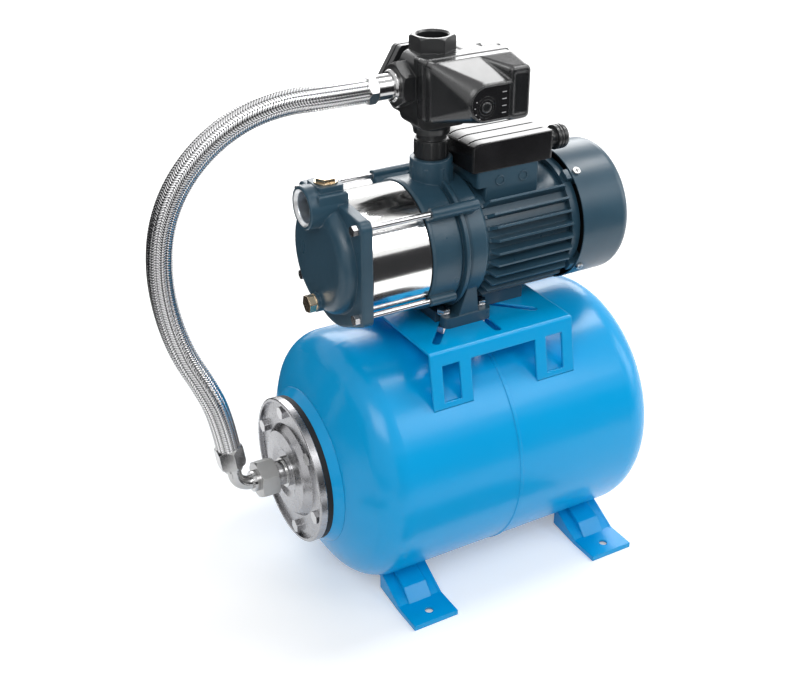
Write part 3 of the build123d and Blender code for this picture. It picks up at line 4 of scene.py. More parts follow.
import bmesh
import bpy
import numpy as np
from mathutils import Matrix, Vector

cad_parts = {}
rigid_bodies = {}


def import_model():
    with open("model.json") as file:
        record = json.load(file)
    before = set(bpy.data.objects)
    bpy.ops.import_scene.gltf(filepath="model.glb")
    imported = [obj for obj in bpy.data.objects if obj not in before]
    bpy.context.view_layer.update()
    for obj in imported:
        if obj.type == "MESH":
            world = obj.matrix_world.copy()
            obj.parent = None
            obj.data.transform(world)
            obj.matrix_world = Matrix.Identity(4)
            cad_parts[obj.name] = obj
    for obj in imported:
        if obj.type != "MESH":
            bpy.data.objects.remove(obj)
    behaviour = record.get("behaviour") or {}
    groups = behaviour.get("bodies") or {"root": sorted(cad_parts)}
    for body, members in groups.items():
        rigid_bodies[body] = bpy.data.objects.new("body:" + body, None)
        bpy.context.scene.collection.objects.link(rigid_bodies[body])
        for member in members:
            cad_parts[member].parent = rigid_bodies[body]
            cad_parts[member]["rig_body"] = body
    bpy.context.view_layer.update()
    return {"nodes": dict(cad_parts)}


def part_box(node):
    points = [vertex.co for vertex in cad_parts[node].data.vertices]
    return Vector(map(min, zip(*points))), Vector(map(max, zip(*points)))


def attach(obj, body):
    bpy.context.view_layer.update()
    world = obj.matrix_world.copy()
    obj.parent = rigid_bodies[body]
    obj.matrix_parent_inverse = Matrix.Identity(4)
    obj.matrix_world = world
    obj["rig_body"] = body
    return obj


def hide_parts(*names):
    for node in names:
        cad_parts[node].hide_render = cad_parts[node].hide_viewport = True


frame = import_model()
nodes = frame["nodes"]

# Camera at the height and angle of a standing viewer, to the left of the control side
CAMERA_PLACE = Vector((-0.64796, -1.00567, 0.89662))
CAMERA_AIM = Vector((-0.07523, 0.0, 0.26933))
camera_data = bpy.data.cameras.new("camera")
camera_data.lens = 54.22
camera_data.sensor_width = 36.0
camera_data.clip_end = 50.0
camera = bpy.data.objects.new("camera", camera_data)
camera.location = CAMERA_PLACE
camera.rotation_euler = (CAMERA_AIM - CAMERA_PLACE).to_track_quat("-Z", "Y").to_euler()
bpy.context.scene.collection.objects.link(camera)
bpy.context.scene.camera = camera

# Sizes in metres, as in the model: heights of the two long axes, the hose, and the suction port.
# The fades are the widths over which bare metal turns into paint.
AXIS_TANK = 0.145
AXIS_PUMP = 0.380
SUCTION_FACE = -0.190
SUCTION_Z = 0.443
PORT_DEPTH = 0.0215
PORT_BORE = 0.0156
PORT_CHAMFER = 0.0190
PORT_DEPTH_FADE = 0.0004
PORT_CHAMFER_FADE = 0.0003
PORT_BORE_FADE = 0.0002
THREAD_METAL = (0.55, 0.60, 0.65)
CHAMFER_METAL = (0.80, 0.81, 0.82)

# Sockets of a Mix node that mixes colours
MIX_FACTOR, MIX_FIRST, MIX_SECOND, MIX_RESULT = 0, 6, 7, 2
BEVEL_SAMPLES = 6


# ---------------------------------------------------------------- materials
class Value:
    """A number that varies over a surface. Operators add the matching Math nodes."""

    def __init__(self, tree, socket):
        self.tree = tree
        self.socket = socket

    def math(self, operation, *terms):
        """Adds one Math node, with this value first and the terms after it."""
        node = self.tree.nodes.new("ShaderNodeMath")
        node.operation = operation
        for slot, term in zip(node.inputs, (self,) + terms):
            if isinstance(term, Value):
                self.tree.links.new(term.socket, slot)
            else:
                slot.default_value = term
        return Value(self.tree, node.outputs[0])

    def __add__(self, other):
        return self.math("ADD", other)

    __radd__ = __add__

    def __mul__(self, other):
        return self.math("MULTIPLY", other)

    __rmul__ = __mul__

    def __sub__(self, other):
        return self.math("SUBTRACT", other)

    def __rsub__(self, other):
        return self.math("MULTIPLY", -1.0).math("ADD", other)

    def __pow__(self, other):
        return self.math("POWER", other)

    def sine(self):
        return self.math("SINE")

    def size(self):
        return self.math("ABSOLUTE")

    def clipped(self, low, high):
        """0 at low, 1 at high, a straight line between and flat beyond; low may be the larger."""
        made = add_node(self.tree, "ShaderNodeMapRange", {}, Value=self, From_Min=low,
                        From_Max=high)
        return Value(self.tree, made.outputs["Result"])


def add_node(tree, kind, settings, **sockets):
    """Adds a node: its settings first, then values or links for its named sockets."""
    made = tree.nodes.new(kind)
    for key, value in settings.items():
        setattr(made, key, value)
    for key, value in sockets.items():
        slot = made.inputs[key.replace("_", " ")]
        if isinstance(value, Value):
            tree.links.new(value.socket, slot)
        elif isinstance(value, bpy.types.NodeSocket):
            tree.links.new(value, slot)
        else:
            slot.default_value = value
    return made


class Finish:
    """A material with one Principled shader and short ways to add texture to it."""

    def __init__(self, name, colour, roughness, metallic=0.0, **fixed):
        self.material = bpy.data.materials.new(name)
        self.material.use_nodes = True
        self.tree = self.material.node_tree
        self.shader = self.tree.nodes["Principled BSDF"]
        self.set("Base Color", (*colour, 1.0))
        self.set("Roughness", roughness)
        self.set("Metallic", metallic)
        for socket, value in fixed.items():
            self.set(socket.replace("_", " "), value)
        self.colour = colour
        self.normal = None
        self.place = self.node("ShaderNodeTexCoord", {}).outputs["Object"]

    def set(self, socket, value):
        self.shader.inputs[socket].default_value = value

    def node(self, kind, settings, **sockets):
        return add_node(self.tree, kind, settings, **sockets)

    def feed(self, socket, value):
        """Links a number that varies over the surface to one of the shader's sockets."""
        self.tree.links.new(value.socket, self.shader.inputs[socket])

    def noise(self, scale, detail=3.0, stretch=(1.0, 1.0, 1.0), roughness=0.5):
        """Cloudy pattern; scale is in bumps per metre."""
        spread = self.node("ShaderNodeMapping", {}, Vector=self.place, Scale=stretch)
        made = self.node("ShaderNodeTexNoise", {}, Vector=spread.outputs[0], Scale=scale,
                         Detail=detail, Roughness=roughness)
        return Value(self.tree, made.outputs["Fac"])

    def axis(self, letter):
        """One coordinate of the surface point, in metres."""
        parts = self.node("ShaderNodeSeparateXYZ", {}, Vector=self.place)
        return Value(self.tree, parts.outputs[letter])

    def stripe(self, name, letter):
        """One coordinate of a stored surface map."""
        made = self.node("ShaderNodeUVMap", {"uv_map": name})
        parts = self.node("ShaderNodeSeparateXYZ", {}, Vector=made.outputs[0])
        return Value(self.tree, parts.outputs[letter])

    def tint(self, mask, colour):
        """Mixes a second colour into the base where the mask is 1."""
        base = self.shader.inputs["Base Color"]
        mixed = self.node("ShaderNodeMix", {"data_type": "RGBA"})
        if base.is_linked:
            self.tree.links.new(base.links[0].from_socket, mixed.inputs[MIX_FIRST])
        else:
            mixed.inputs[MIX_FIRST].default_value = (*self.colour, 1.0)
        mixed.inputs[MIX_SECOND].default_value = (*colour, 1.0)
        self.tree.links.new(mask.socket, mixed.inputs[MIX_FACTOR])
        self.tree.links.new(mixed.outputs[MIX_RESULT], base)

    def rounded(self, radius):
        """Softens sharp edges in the shading only, as paint and moulding do."""
        made = self.node("ShaderNodeBevel", {"samples": BEVEL_SAMPLES}, Radius=radius)
        self.normal = made.outputs[0]
        self.tree.links.new(self.normal, self.shader.inputs["Normal"])

    def relief(self, height, depth, strength=1.0):
        """Bump from a height of 0 to 1, over the rounded edges; depth is in metres."""
        made = self.node("ShaderNodeBump", {}, Height=height, Distance=depth, Strength=strength,
                         Normal=self.normal)
        self.tree.links.new(made.outputs[0], self.shader.inputs["Normal"])


def powder_paint(name, colour, shade, edge):
    """Glossy powder coat: slow orange peel, faint dust in the gloss."""
    made = Finish(name, colour, 0.22, Specular_IOR_Level=0.32)
    made.rounded(edge)
    made.relief(made.noise(230.0, 2.0), 0.00012, 0.35)
    made.tint(made.noise(9.0, 3.0).clipped(0.45, 0.85) * 0.35, shade)
    made.feed("Roughness", 0.17 + 0.12 * made.noise(34.0, 4.0))
    return made.material


def cast_paint(name, colour, shade, light, grain, edge, bare=False):
    """Semi-gloss paint over a sand casting: grains, slow waves, worn light on high spots.

    With bare set, the suction port's chamfer and thread are left as machined metal.
    """
    made = Finish(name, colour, 0.30, Specular_IOR_Level=0.42)
    made.rounded(edge)
    waves = made.noise(60.0, 3.0)
    grains = made.noise(620.0, 4.0, roughness=0.65)
    made.relief(waves * 0.6 + grains * 0.4, grain)
    made.tint(made.noise(14.0, 4.0).clipped(0.4, 0.8) * 0.6, shade)
    made.tint(made.noise(900.0, 2.0).clipped(0.62, 0.8) * 0.25, light)
    made.feed("Roughness", 0.22 + 0.18 * made.noise(45.0, 5.0))
    if bare:
        across, up = made.axis("Y"), made.axis("Z") - SUCTION_Z
        reach = (across * across + up * up) ** 0.5
        deepest = SUCTION_FACE + PORT_DEPTH
        near_face = made.axis("X").clipped(deepest, deepest - PORT_DEPTH_FADE)
        machined = reach.clipped(PORT_CHAMFER, PORT_CHAMFER - PORT_CHAMFER_FADE) * near_face
        chamfer = reach.clipped(PORT_BORE, PORT_BORE + PORT_BORE_FADE) * machined
        made.tint(machined, THREAD_METAL)
        made.tint(chamfer, CHAMFER_METAL)
        made.feed("Metallic", machined * 0.9)
    return made.material


def moulded(name, colour, roughness, grain, edge, sheen=(0.04, 0.04, 0.043), gloss=0.5):
    """Moulded plastic: fine even grain and a soft variation of gloss."""
    made = Finish(name, colour, roughness, Specular_IOR_Level=gloss)
    made.rounded(edge)
    made.relief(made.noise(1500.0, 2.0), grain, 0.6)
    made.tint(made.noise(22.0, 4.0).clipped(0.5, 0.9) * 0.5, sheen)
    made.feed("Roughness", roughness - 0.04 + 0.08 * made.noise(60.0, 4.0))
    return made.material


def bare_metal(name, colour, roughness, stretch, scratch, edge, dull):
    """Metal with fine tool lines along one direction and slow dull patches."""
    made = Finish(name, colour, roughness, 1.0)
    made.rounded(edge)
    lines = made.noise(1.0, 3.0, stretch)
    made.relief(lines, scratch, 0.5)
    made.tint(made.noise(28.0, 5.0).clipped(0.45, 0.8) * 0.5, dull)
    made.feed("Roughness", roughness - 0.05 + 0.06 * made.noise(70.0, 4.0) + 0.06 * lines)
    return made.material


BLUE = (0.0, 0.355, 0.74)
DEEP_BLUE = (0.0, 0.315, 0.68)
SLATE = (0.029, 0.075, 0.113)
SHADE = (0.015, 0.044, 0.070)
WORN = (0.06, 0.12, 0.16)
paint_tank = powder_paint("tank_powder_paint", BLUE, DEEP_BLUE, 0.0008)
paint_sheet = powder_paint("sheet_powder_paint", BLUE, DEEP_BLUE, 0.0018)
paint_cast = cast_paint("cast_iron_paint", SLATE, SHADE, WORN, 0.00030, 0.0020, bare=True)
paint_motor = cast_paint("motor_paint", SLATE, SHADE, WORN, 0.00012, 0.0010)
paint_cover = cast_paint("fan_cover_paint", SLATE, SHADE, WORN, 0.00005, 0.0012)
plastic_body = moulded("black_glass_filled_nylon", (0.012, 0.013, 0.014), 0.30, 0.00006, 0.0012,
                       gloss=0.7)
plastic_cover = moulded("black_satin_cover", (0.009, 0.010, 0.011), 0.22, 0.00002, 0.0036,
                        gloss=0.95)
plastic_lid = moulded("black_lid", (0.009, 0.009, 0.010), 0.22, 0.00003, 0.0010, gloss=0.52)
plastic_panel = moulded("black_panel_film", (0.008, 0.008, 0.009), 0.24, 0.00001, 0.0004)
plastic_inner = moulded("grey_moulding", (0.05, 0.05, 0.05), 0.5, 0.00005, 0.0004)
plastic_white = moulded("white_sleeve", (0.75, 0.75, 0.72), 0.35, 0.00002, 0.0006, (0.7, 0.7, 0.66))
board_green = moulded("board_lacquer", (0.02, 0.16, 0.06), 0.3, 0.00002, 0.0003, (0.03, 0.2, 0.08))
copper = moulded("enamelled_copper", (0.55, 0.24, 0.08), 0.35, 0.0001, 0.001, (0.45, 0.2, 0.07))
rubber = moulded("black_rubber", (0.010, 0.010, 0.011), 0.62, 0.00008, 0.0006,
                 (0.025, 0.025, 0.025), gloss=0.3)
steel_zinc = bare_metal("bright_zinc", (0.56, 0.56, 0.57), 0.22, (300, 300, 300), 0.00003, 0.0005,
                        (0.36, 0.36, 0.37))
steel_turned = bare_metal("machined_steel", (0.60, 0.60, 0.61), 0.28, (40, 900, 900), 0.00003,
                          0.0003, (0.45, 0.45, 0.46))
steel_pressed = bare_metal("pressed_stainless", (0.40, 0.40, 0.415), 0.26, (60, 260, 260), 0.00004,
                           0.0008, (0.24, 0.24, 0.25))
nickel = bare_metal("nickel_plate", (0.50, 0.50, 0.50), 0.14, (220, 220, 220), 0.00003, 0.0008,
                    (0.34, 0.34, 0.34))
nickel_sanded = bare_metal("sand_blasted_nickel", (0.46, 0.46, 0.455), 0.34, (900, 900, 900),
                           0.00010, 0.0009, (0.32, 0.32, 0.32))
brass = bare_metal("brass", (0.64, 0.52, 0.37), 0.24, (500, 500, 500), 0.00004, 0.0007,
                   (0.30, 0.22, 0.14))
sleeve_steel = bare_metal("polished_sleeve", (0.95, 0.95, 0.94), 0.11, (3, 60, 60), 0.000015,
                          0.0002, (0.86, 0.86, 0.85))


def dress(material, *names):
    """Gives CAD nodes their material."""
    for name in names:
        for slot in nodes[name].material_slots:
            slot.material = material


dress(paint_tank, "tank_shell", "tank_neck_ring")
dress(paint_sheet, "tank_foot_front", "tank_foot_rear", "pump_platform")
dress(paint_cast, "suction_casing", "pump_bracket")
dress(paint_motor, "motor_frame", "end_shield")
dress(paint_cover, "fan_cover")
dress(plastic_body, "controller_body", "diaphragm_cap", "controller_glands", "cable_gland",
      "air_valve_cap", "cooling_fan", "outlet_nipple")
dress(plastic_cover, "electronics_cover", "reset_button")
dress(plastic_panel, "control_panel")
dress(plastic_inner, "impeller_1", "impeller_2", "impeller_3", "diffuser_1", "diffuser_2",
      "diffuser_3", "terminal_block", "flow_valve", "seal_rotor", "seal_seat")
dress(plastic_white, "capacitor")
dress(board_green, "circuit_board")
dress(copper, "stator_windings")
dress(rubber, "tank_membrane", "sleeve_seals", "diaphragm")
dress(steel_zinc, "flange_bolts", "tie_bolts", "foot_bolts", "cap_screws", "valve_spring",
      "impeller_nut")
dress(steel_pressed, "tank_flange")
dress(steel_turned, "stator", "rotor_core", "motor_shaft", "bearings")
dress(nickel, "union_elbow", "hose_lower_nut", "hose_upper_nut", "port_bush", "flange_nipple")
dress(nickel_sanded, "fan_cover_screws", "union_nut")
dress(brass, "priming_plug", "drain_plug", "air_valve_body")
dress(sleeve_steel, "pump_sleeve")


# ---------------------------------------------------------------- meshes
def new_piece(name, points, faces, material):
    """Smooth mesh from lists of points and faces, put into the scene at the origin."""
    mesh = bpy.data.meshes.new(name)
    mesh.from_pydata(points, [], faces)
    mesh.polygons.foreach_set("use_smooth", np.ones(len(mesh.polygons), bool))
    mesh.update()
    made = bpy.data.objects.new(name, mesh)
    made.data.materials.append(material)
    bpy.context.scene.collection.objects.link(made)
    return made


def grid_piece(name, points, material, closed=(False, False)):
    """Piece from a grid of points, rows by columns by 3.

    A closed direction joins its last line to its first.
    """
    rows, columns = points.shape[:2]
    row = np.arange(rows if closed[0] else rows - 1)
    column = np.arange(columns if closed[1] else columns - 1)
    a, b = np.meshgrid(row, column, indexing="ij")
    c, d = (a + 1) % rows, (b + 1) % columns
    corners = [a * columns + b, a * columns + d, c * columns + d, c * columns + b]
    faces = np.stack(corners, -1).reshape(-1, 4)
    return new_piece(name, points.reshape(-1, 3).tolist(), faces.tolist(), material)


def full_turn(count):
    """Angles of one turn, without its end."""
    return np.linspace(0.0, 2 * math.pi, count, endpoint=False)


def face_out(piece):
    """Merges doubled points and turns every face outwards."""
    work = bmesh.new()
    work.from_mesh(piece.data)
    bmesh.ops.remove_doubles(work, verts=work.verts, dist=1e-7)
    bmesh.ops.recalc_face_normals(work, faces=work.faces)
    work.to_mesh(piece.data)
    work.free()


# ---------------------------------------------------------------- hose
HOSE_POINTS = [
    (-0.28516, 0.0, 0.19811),
    (-0.2907, 0.0, 0.2375),
    (-0.3019, 0.0070, 0.2709),
    (-0.3168, 0.0190, 0.3041),
    (-0.3251, 0.0310, 0.3429),
    (-0.3267, 0.0400, 0.3878),
    (-0.3188, 0.0440, 0.4335),
    (-0.2994, 0.0430, 0.4742),
    (-0.2704, 0.0370, 0.5086),
    (-0.2354, 0.0260, 0.5344),
    (-0.1983, 0.0120, 0.5479),
    (-0.1606, 0.0, 0.5500),
    (-0.1200, 0.0, 0.5500),
]

# The smooth line through the route, read once from its spline and then removed
hose_curve = bpy.data.curves.new("hose_line", "CURVE")
hose_curve.dimensions = "3D"
hose_curve.resolution_u = 24
hose_spline = hose_curve.splines.new("NURBS")
hose_spline.points.add(len(HOSE_POINTS) - 1)
for spline_point, place in zip(hose_spline.points, HOSE_POINTS):
    spline_point.co = (*place, 1.0)
hose_spline.order_u = 3
hose_spline.use_endpoint_u = True
hose_object = bpy.data.objects.new("hose_line", hose_curve)
bpy.context.scene.collection.objects.link(hose_object)
bpy.context.view_layer.update()
hose_mesh = bpy.data.meshes.new_from_object(hose_object)
line = np.array([vertex.co[:] for vertex in hose_mesh.vertices])
bpy.data.meshes.remove(hose_mesh)
bpy.data.objects.remove(hose_object)
steps = np.r_[0.0, np.cumsum(np.linalg.norm(np.diff(line, axis=0), axis=1))]
hose_length = float(steps[-1])
SLOPE_STEP = 4e-4


def on_line(distance):
    """Point of the hose's middle line at each distance along it."""
    return np.stack([np.interp(distance, steps, line[:, i]) for i in range(3)], -1)


def hose_frame(distance):
    """Middle point, sideways and outward directions of the hose at each distance along it.

    Forward is the step from just before to just after; sideways is Y less its forward share;
    outward is their cross product.
    """
    middle = on_line(distance)
    forward = on_line(distance + SLOPE_STEP) - on_line(distance - SLOPE_STEP)
    forward /= np.linalg.norm(forward, axis=-1, keepdims=True)
    side = np.array([0.0, 1.0, 0.0]) - forward * forward[..., 1:2]
    side /= np.linalg.norm(side, axis=-1, keepdims=True)
    return middle, side, np.cross(forward, side)


def around_hose(distance, angle, radius):
    """Point of the hose's surface: middle + radius * (cos(angle) * side + sin(angle) * out)."""
    middle, side, out = hose_frame(distance)
    outward = np.cos(angle)[..., None] * side + np.sin(angle)[..., None] * out
    return middle + radius[..., None] * outward


# Bands each way, their angle to the hose, and their sizes
CARRIERS = 8
LAY_ANGLE = math.radians(62)
BRAID_MIDDLE = 0.01236
BRAID_LIFT = 0.00034
BAND_WIDTH = 0.00445
WIRES_PER_BAND = 2
WIRE_CROWN = 0.0003
TWIST = math.tan(LAY_ANGLE) / BRAID_MIDDLE
LINES_PER_SWING = 4
LINES_PER_WIRE = 4
CORE_RADIUS = 0.0119


def braid(name, turn):
    """Bands of round wires that wind round the hose and pass over and under the other way's bands.

    Band k has the angle turn * TWIST * s + 2 pi k / CARRIERS, and its height swings as the
    cosine of CARRIERS times the angle, so the places where it lies on top form rows along the hose;
    across the band the height rises as the sine's size over each wire.
    """
    count = int(hose_length * CARRIERS * TWIST / math.pi * LINES_PER_SWING)
    along = np.linspace(0.0, hose_length, count)
    across = np.linspace(-1.0, 1.0, LINES_PER_WIRE * WIRES_PER_BAND + 1)
    rows, offset = np.meshgrid(along, across, indexing="ij")
    crown = np.abs(np.sin((offset + 1) / 2 * math.pi * WIRES_PER_BAND))
    half = BAND_WIDTH / 2 / math.cos(LAY_ANGLE) / BRAID_MIDDLE
    round_angle = turn * TWIST * rows + offset * half
    height = BRAID_MIDDLE + turn * BRAID_LIFT * np.cos(CARRIERS * round_angle) + WIRE_CROWN * crown
    points = np.stack([around_hose(rows, round_angle + 2 * math.pi * k / CARRIERS, height)
                       for k in range(CARRIERS)])
    index = np.arange(points.size // 3).reshape(points.shape[:3])
    corners = [index[:, :-1, :-1], index[:, :-1, 1:], index[:, 1:, 1:], index[:, 1:, :-1]]
    faces = np.stack(corners, -1).reshape(-1, 4)
    made = new_piece(name, points.reshape(-1, 3).tolist(), faces.tolist(), strand.material)
    # The map holds the phase of the swing and the place across the band
    layer = made.data.uv_layers.new(name="band")
    loops = np.zeros(len(made.data.loops), int)
    made.data.loops.foreach_get("vertex_index", loops)
    phase = CARRIERS * round_angle + (0.0 if turn > 0 else math.pi)
    place = np.broadcast_arrays(phase[None], (offset[None] + 1) / 2 + 0 * points[..., 0])
    layer.data.foreach_set("uv", np.stack(place, -1).reshape(-1, 2)[loops].ravel())
    return made


# Painted shade: dark where two wires of a band meet, and where the other way's band lies on top
strand = Finish("braid_wire", (0.88, 0.88, 0.89), 0.16, 1.0)
across_band = strand.stripe("band", "Y")
groove = (across_band * (math.pi * WIRES_PER_BAND)).sine().size()
above_other = strand.stripe("band", "X").math("COSINE")
wire_gap_shade = groove.clipped(0.85, 0.32)
border = above_other.clipped(0.85, 0.10)
strand.tint(wire_gap_shade * (0.58 + 0.40 * border), (0.02, 0.02, 0.022))
strand.tint(above_other.clipped(0.40, 0.05) * 0.85, (0.04, 0.04, 0.045))
strand.feed("Roughness", 0.13 + 0.08 * strand.noise(300.0, 3.0))

core_steps = np.linspace(0.0, hose_length, 240)
core_rows, core_angles = np.meshgrid(core_steps, full_turn(48), indexing="ij")
core_points = around_hose(core_rows, core_angles, np.full(core_rows.shape, CORE_RADIUS))
hose_core = grid_piece("hose_core", core_points, rubber, closed=(False, True))
face_out(hose_core)
braid_right = braid("hose_braid_right", 1)
braid_left = braid("hose_braid_left", -1)
for piece in (hose_core, braid_right, braid_left):
    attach(piece, "frame")
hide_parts("braided_hose")


# ---------------------------------------------------------------- rubber lip, painted gap shade and box lid
RING_STEPS = 160
RING_SHARP = math.radians(40)
LID_SHARP = math.radians(38)


def turned_ring(name, profile, axis_z, material):
    """Closed profile of (distance along X, radius) pairs, carried round a level axis along X.

    Each point of the profile goes round as (x, r cos t, axis_z + r sin t).
    """
    outline = np.array(profile)
    turn = full_turn(RING_STEPS)[:, None]
    reach = outline[None, :, 1]
    points = np.stack([outline[None, :, 0] + 0 * turn, reach * np.cos(turn),
                       axis_z + reach * np.sin(turn)], -1)
    made = grid_piece(name, points, material, closed=(True, True))
    face_out(made)
    made.data.set_sharp_from_angle(angle=RING_SHARP)
    return made


# Edge of the rubber lip between the flange and the tank
LIP_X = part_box("tank_membrane")[0][0]
LIP_OUTLINE = ((0.0012, 0.0761), (0.0012, 0.0793), (0.0018, 0.0799), (0.0066, 0.0799),
               (0.0076, 0.0798), (0.0027, 0.0762))
lip_profile = [(LIP_X + along, radius) for along, radius in LIP_OUTLINE]
lip_band = turned_ring("membrane_lip_edge", lip_profile, AXIS_TANK, rubber)
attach(lip_band, nodes["tank_membrane"]["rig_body"])

# Painted shade: a dark ring just in front of the fan, inside the mouth of its cover, that stands
# for the shaded gap into the cover
gap_shade_profile = [(0.1122, 0.030), (0.1122, 0.0724), (0.1130, 0.0724), (0.1130, 0.030)]
gap_shade_ring = turned_ring("fan_gap_shade_ring", gap_shade_profile, AXIS_PUMP, rubber)
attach(gap_shade_ring, nodes["fan_cover"]["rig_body"])

# Lid of the terminal box: rounded edge and corners, the fall at its left end, and its grooves
LID_LOW, LID_HIGH = (np.array(corner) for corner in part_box("terminal_box_lid"))
LID_EDGE = 0.0011
LID_CORNER = 0.0022
LID_SLOPE = 0.015
LID_DROP = 0.004
LID_INSET = 0.004
LID_FLAT = 0.018
EDGE_SHARE = np.array([0.0, 0.1, 0.3, 0.6, 1.0])
GROOVES = (-0.0295, -0.0112, 0.0071, 0.0254)
GROOVE_DEPTH = 0.0014
GROOVE_HALF = 0.00112
GROOVE_WALL = 0.00022
GROOVE_LINES = np.array([-14, -11.2, -9, 9, 11.2, 14]) * 1e-4
GROOVE_START, GROOVE_RISE = 0.0016, 0.0012
GROOVE_END, GROOVE_FALL = 0.006, 0.002


def lid_surface():
    """Height field over the lid's plan.

    z = top - (R - sqrt(R^2 - s^2)) - (E - sqrt(E^2 - (E - d)^2)) - grooves, where s is the way
    into the fall at the left end and R the radius of its arc, d is the way in from the border, up
    to the edge's radius E, and each groove has its depth between its two walls. A point in one of
    the plan's square corners is drawn in towards the corner's round.
    """
    near_edge = LID_EDGE * EDGE_SHARE
    groove_lines = np.concatenate([groove + GROOVE_LINES for groove in GROOVES])
    fall_lines = LID_LOW[0] + np.linspace(0.002, LID_SLOPE, 16)
    flat_lines = np.linspace(LID_LOW[0] + LID_FLAT, LID_HIGH[0] - LID_INSET, 24)
    even_lines = np.linspace(LID_LOW[1] + LID_INSET, LID_HIGH[1] - LID_INSET, 24)
    ys = np.unique(np.concatenate([LID_LOW[1] + near_edge, LID_HIGH[1] - near_edge, groove_lines,
                                   even_lines]))
    xs = np.unique(np.concatenate([LID_LOW[0] + near_edge, LID_HIGH[0] - near_edge, fall_lines,
                                   flat_lines]))
    x, y = np.meshgrid(xs, ys, indexing="ij")
    arc = (LID_SLOPE ** 2 + LID_DROP ** 2) / (2 * LID_DROP)
    short = np.clip(LID_SLOPE - (x - LID_LOW[0]), 0.0, None)
    z = LID_HIGH[2] - arc + np.sqrt(arc ** 2 - short ** 2)
    border = np.minimum.reduce([x - LID_LOW[0], LID_HIGH[0] - x, y - LID_LOW[1], LID_HIGH[1] - y])
    inside = np.clip(border, 0.0, LID_EDGE)
    z = z - LID_EDGE + np.sqrt(np.clip(LID_EDGE ** 2 - (LID_EDGE - inside) ** 2, 0.0, None))
    run = np.clip((x - LID_LOW[0] - GROOVE_START) / GROOVE_RISE, 0.0, 1.0)
    run = run * np.clip((LID_HIGH[0] - GROOVE_END - x) / GROOVE_FALL, 0.0, 1.0)
    for groove in GROOVES:
        wall = np.clip((GROOVE_HALF - np.abs(y - groove)) / GROOVE_WALL, 0.0, 1.0)
        z = z - GROOVE_DEPTH * run * wall
    middle = (LID_LOW + LID_HIGH) / 2
    flat_half = (LID_HIGH - LID_LOW) / 2 - LID_CORNER
    off_x, off_y = np.abs(x - middle[0]) - flat_half[0], np.abs(y - middle[1]) - flat_half[1]
    corner = (off_x > 0) & (off_y > 0)
    reach = np.maximum(off_x, off_y) / np.maximum(np.hypot(off_x, off_y), 1e-9)
    x = np.where(corner, middle[0] + np.sign(x - middle[0]) * (flat_half[0] + off_x * reach), x)
    y = np.where(corner, middle[1] + np.sign(y - middle[1]) * (flat_half[1] + off_y * reach), y)
    return np.stack([x, y, z], -1)


def closed_lid(name, points, material):
    """The height field with a wall down to the lid's lower edge, and a flat floor."""
    rows, columns = points.shape[:2]
    index = np.arange(rows * columns).reshape(rows, columns)
    a, b, c, d = index[:-1, :-1], index[1:, :-1], index[1:, 1:], index[:-1, 1:]
    faces = np.stack([a, b, c, d], -1).reshape(-1, 4).tolist()
    border = np.concatenate([index[:-1, 0], index[-1, :-1], index[:0:-1, -1], index[0, :0:-1]])
    foot = points.reshape(-1, 3)[border] * [1.0, 1.0, 0.0] + [0.0, 0.0, LID_LOW[2]]
    lower = np.arange(len(border)) + rows * columns
    faces += np.stack([border, lower, np.roll(lower, -1), np.roll(border, -1)], -1).tolist()
    faces.append(lower[::-1].tolist())
    made = new_piece(name, np.concatenate([points.reshape(-1, 3), foot]).tolist(), faces, material)
    face_out(made)
    made.data.set_sharp_from_angle(angle=LID_SHARP)
    return made


lid_shell = closed_lid("terminal_box_lid_shell", lid_surface(), plastic_lid)
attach(lid_shell, nodes["terminal_box_lid"]["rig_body"])
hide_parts("terminal_box_lid")

# ---------------------------------------------------------------- panel of the controller
# The button's place, and the row of bars and arc of dots printed beside it
PANEL_LOW, PANEL_HIGH = (Vector(corner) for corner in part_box("control_panel"))
BUTTON_LOW, BUTTON_HIGH = (Vector(corner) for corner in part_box("reset_button"))
BUTTON_X = (BUTTON_LOW.x + BUTTON_HIGH.x) / 2
BUTTON_Z = (BUTTON_LOW.z + BUTTON_HIGH.z) / 2
PANEL_FACE = PANEL_LOW.y
BAR_SHARE = np.array([0.0, 0.7, 1.0, 1.0])
BAR_LIFT = np.array([-0.00022, -0.00022, -0.00012, 0.00015])
BAR_POWER = 0.4
BAR_X = PANEL_HIGH.x - 0.0052
BAR_Z = PANEL_LOW.z + 0.0050
BAR_STEP = 0.0068
BAR_SIZE = (0.0050, 0.0008)
DOT_SIZE = (0.0016, 0.0008)
DOT_CIRCLE = 0.0128
DOT_ANGLES = (150, 178, 206, 234)
print_grey = moulded("pale_print", (0.45, 0.45, 0.46), 0.4, 0.00001, 0.0002, (0.35, 0.35, 0.36))


def ring_on_panel(name, x, z, radius, wire, material):
    """Raised ring round the point x, z.

    Its points are (x + r cos t, face + wire sin u, z + r sin t) with r = radius + wire cos u.
    """
    turn, roll = np.meshgrid(full_turn(72), full_turn(12), indexing="ij")
    reach = radius + wire * np.cos(roll)
    points = np.stack([x + reach * np.cos(turn), PANEL_FACE + wire * np.sin(roll),
                       z + reach * np.sin(turn)], -1)
    made = grid_piece(name, points, material, closed=(True, True))
    face_out(made)
    return made


def bar_on_panel(name, x, z, width, height, material):
    """Raised bar with round corners.

    At the angle t its outline is (width cos t, height sin t) with both raised to a small power and
    their signs kept; BAR_SHARE and BAR_LIFT say how far out and how high each ring of points lies.
    """
    turn, share = np.meshgrid(full_turn(28), BAR_SHARE, indexing="ij")
    lift = BAR_LIFT[None, :] + 0 * turn
    across = np.sign(np.cos(turn)) * np.abs(np.cos(turn)) ** BAR_POWER * width / 2 * share
    up = np.sign(np.sin(turn)) * np.abs(np.sin(turn)) ** BAR_POWER * height / 2 * share
    points = np.stack([x + across, PANEL_FACE + lift, z + up], -1)
    made = grid_piece(name, points, material, closed=(True, False))
    face_out(made)
    return made


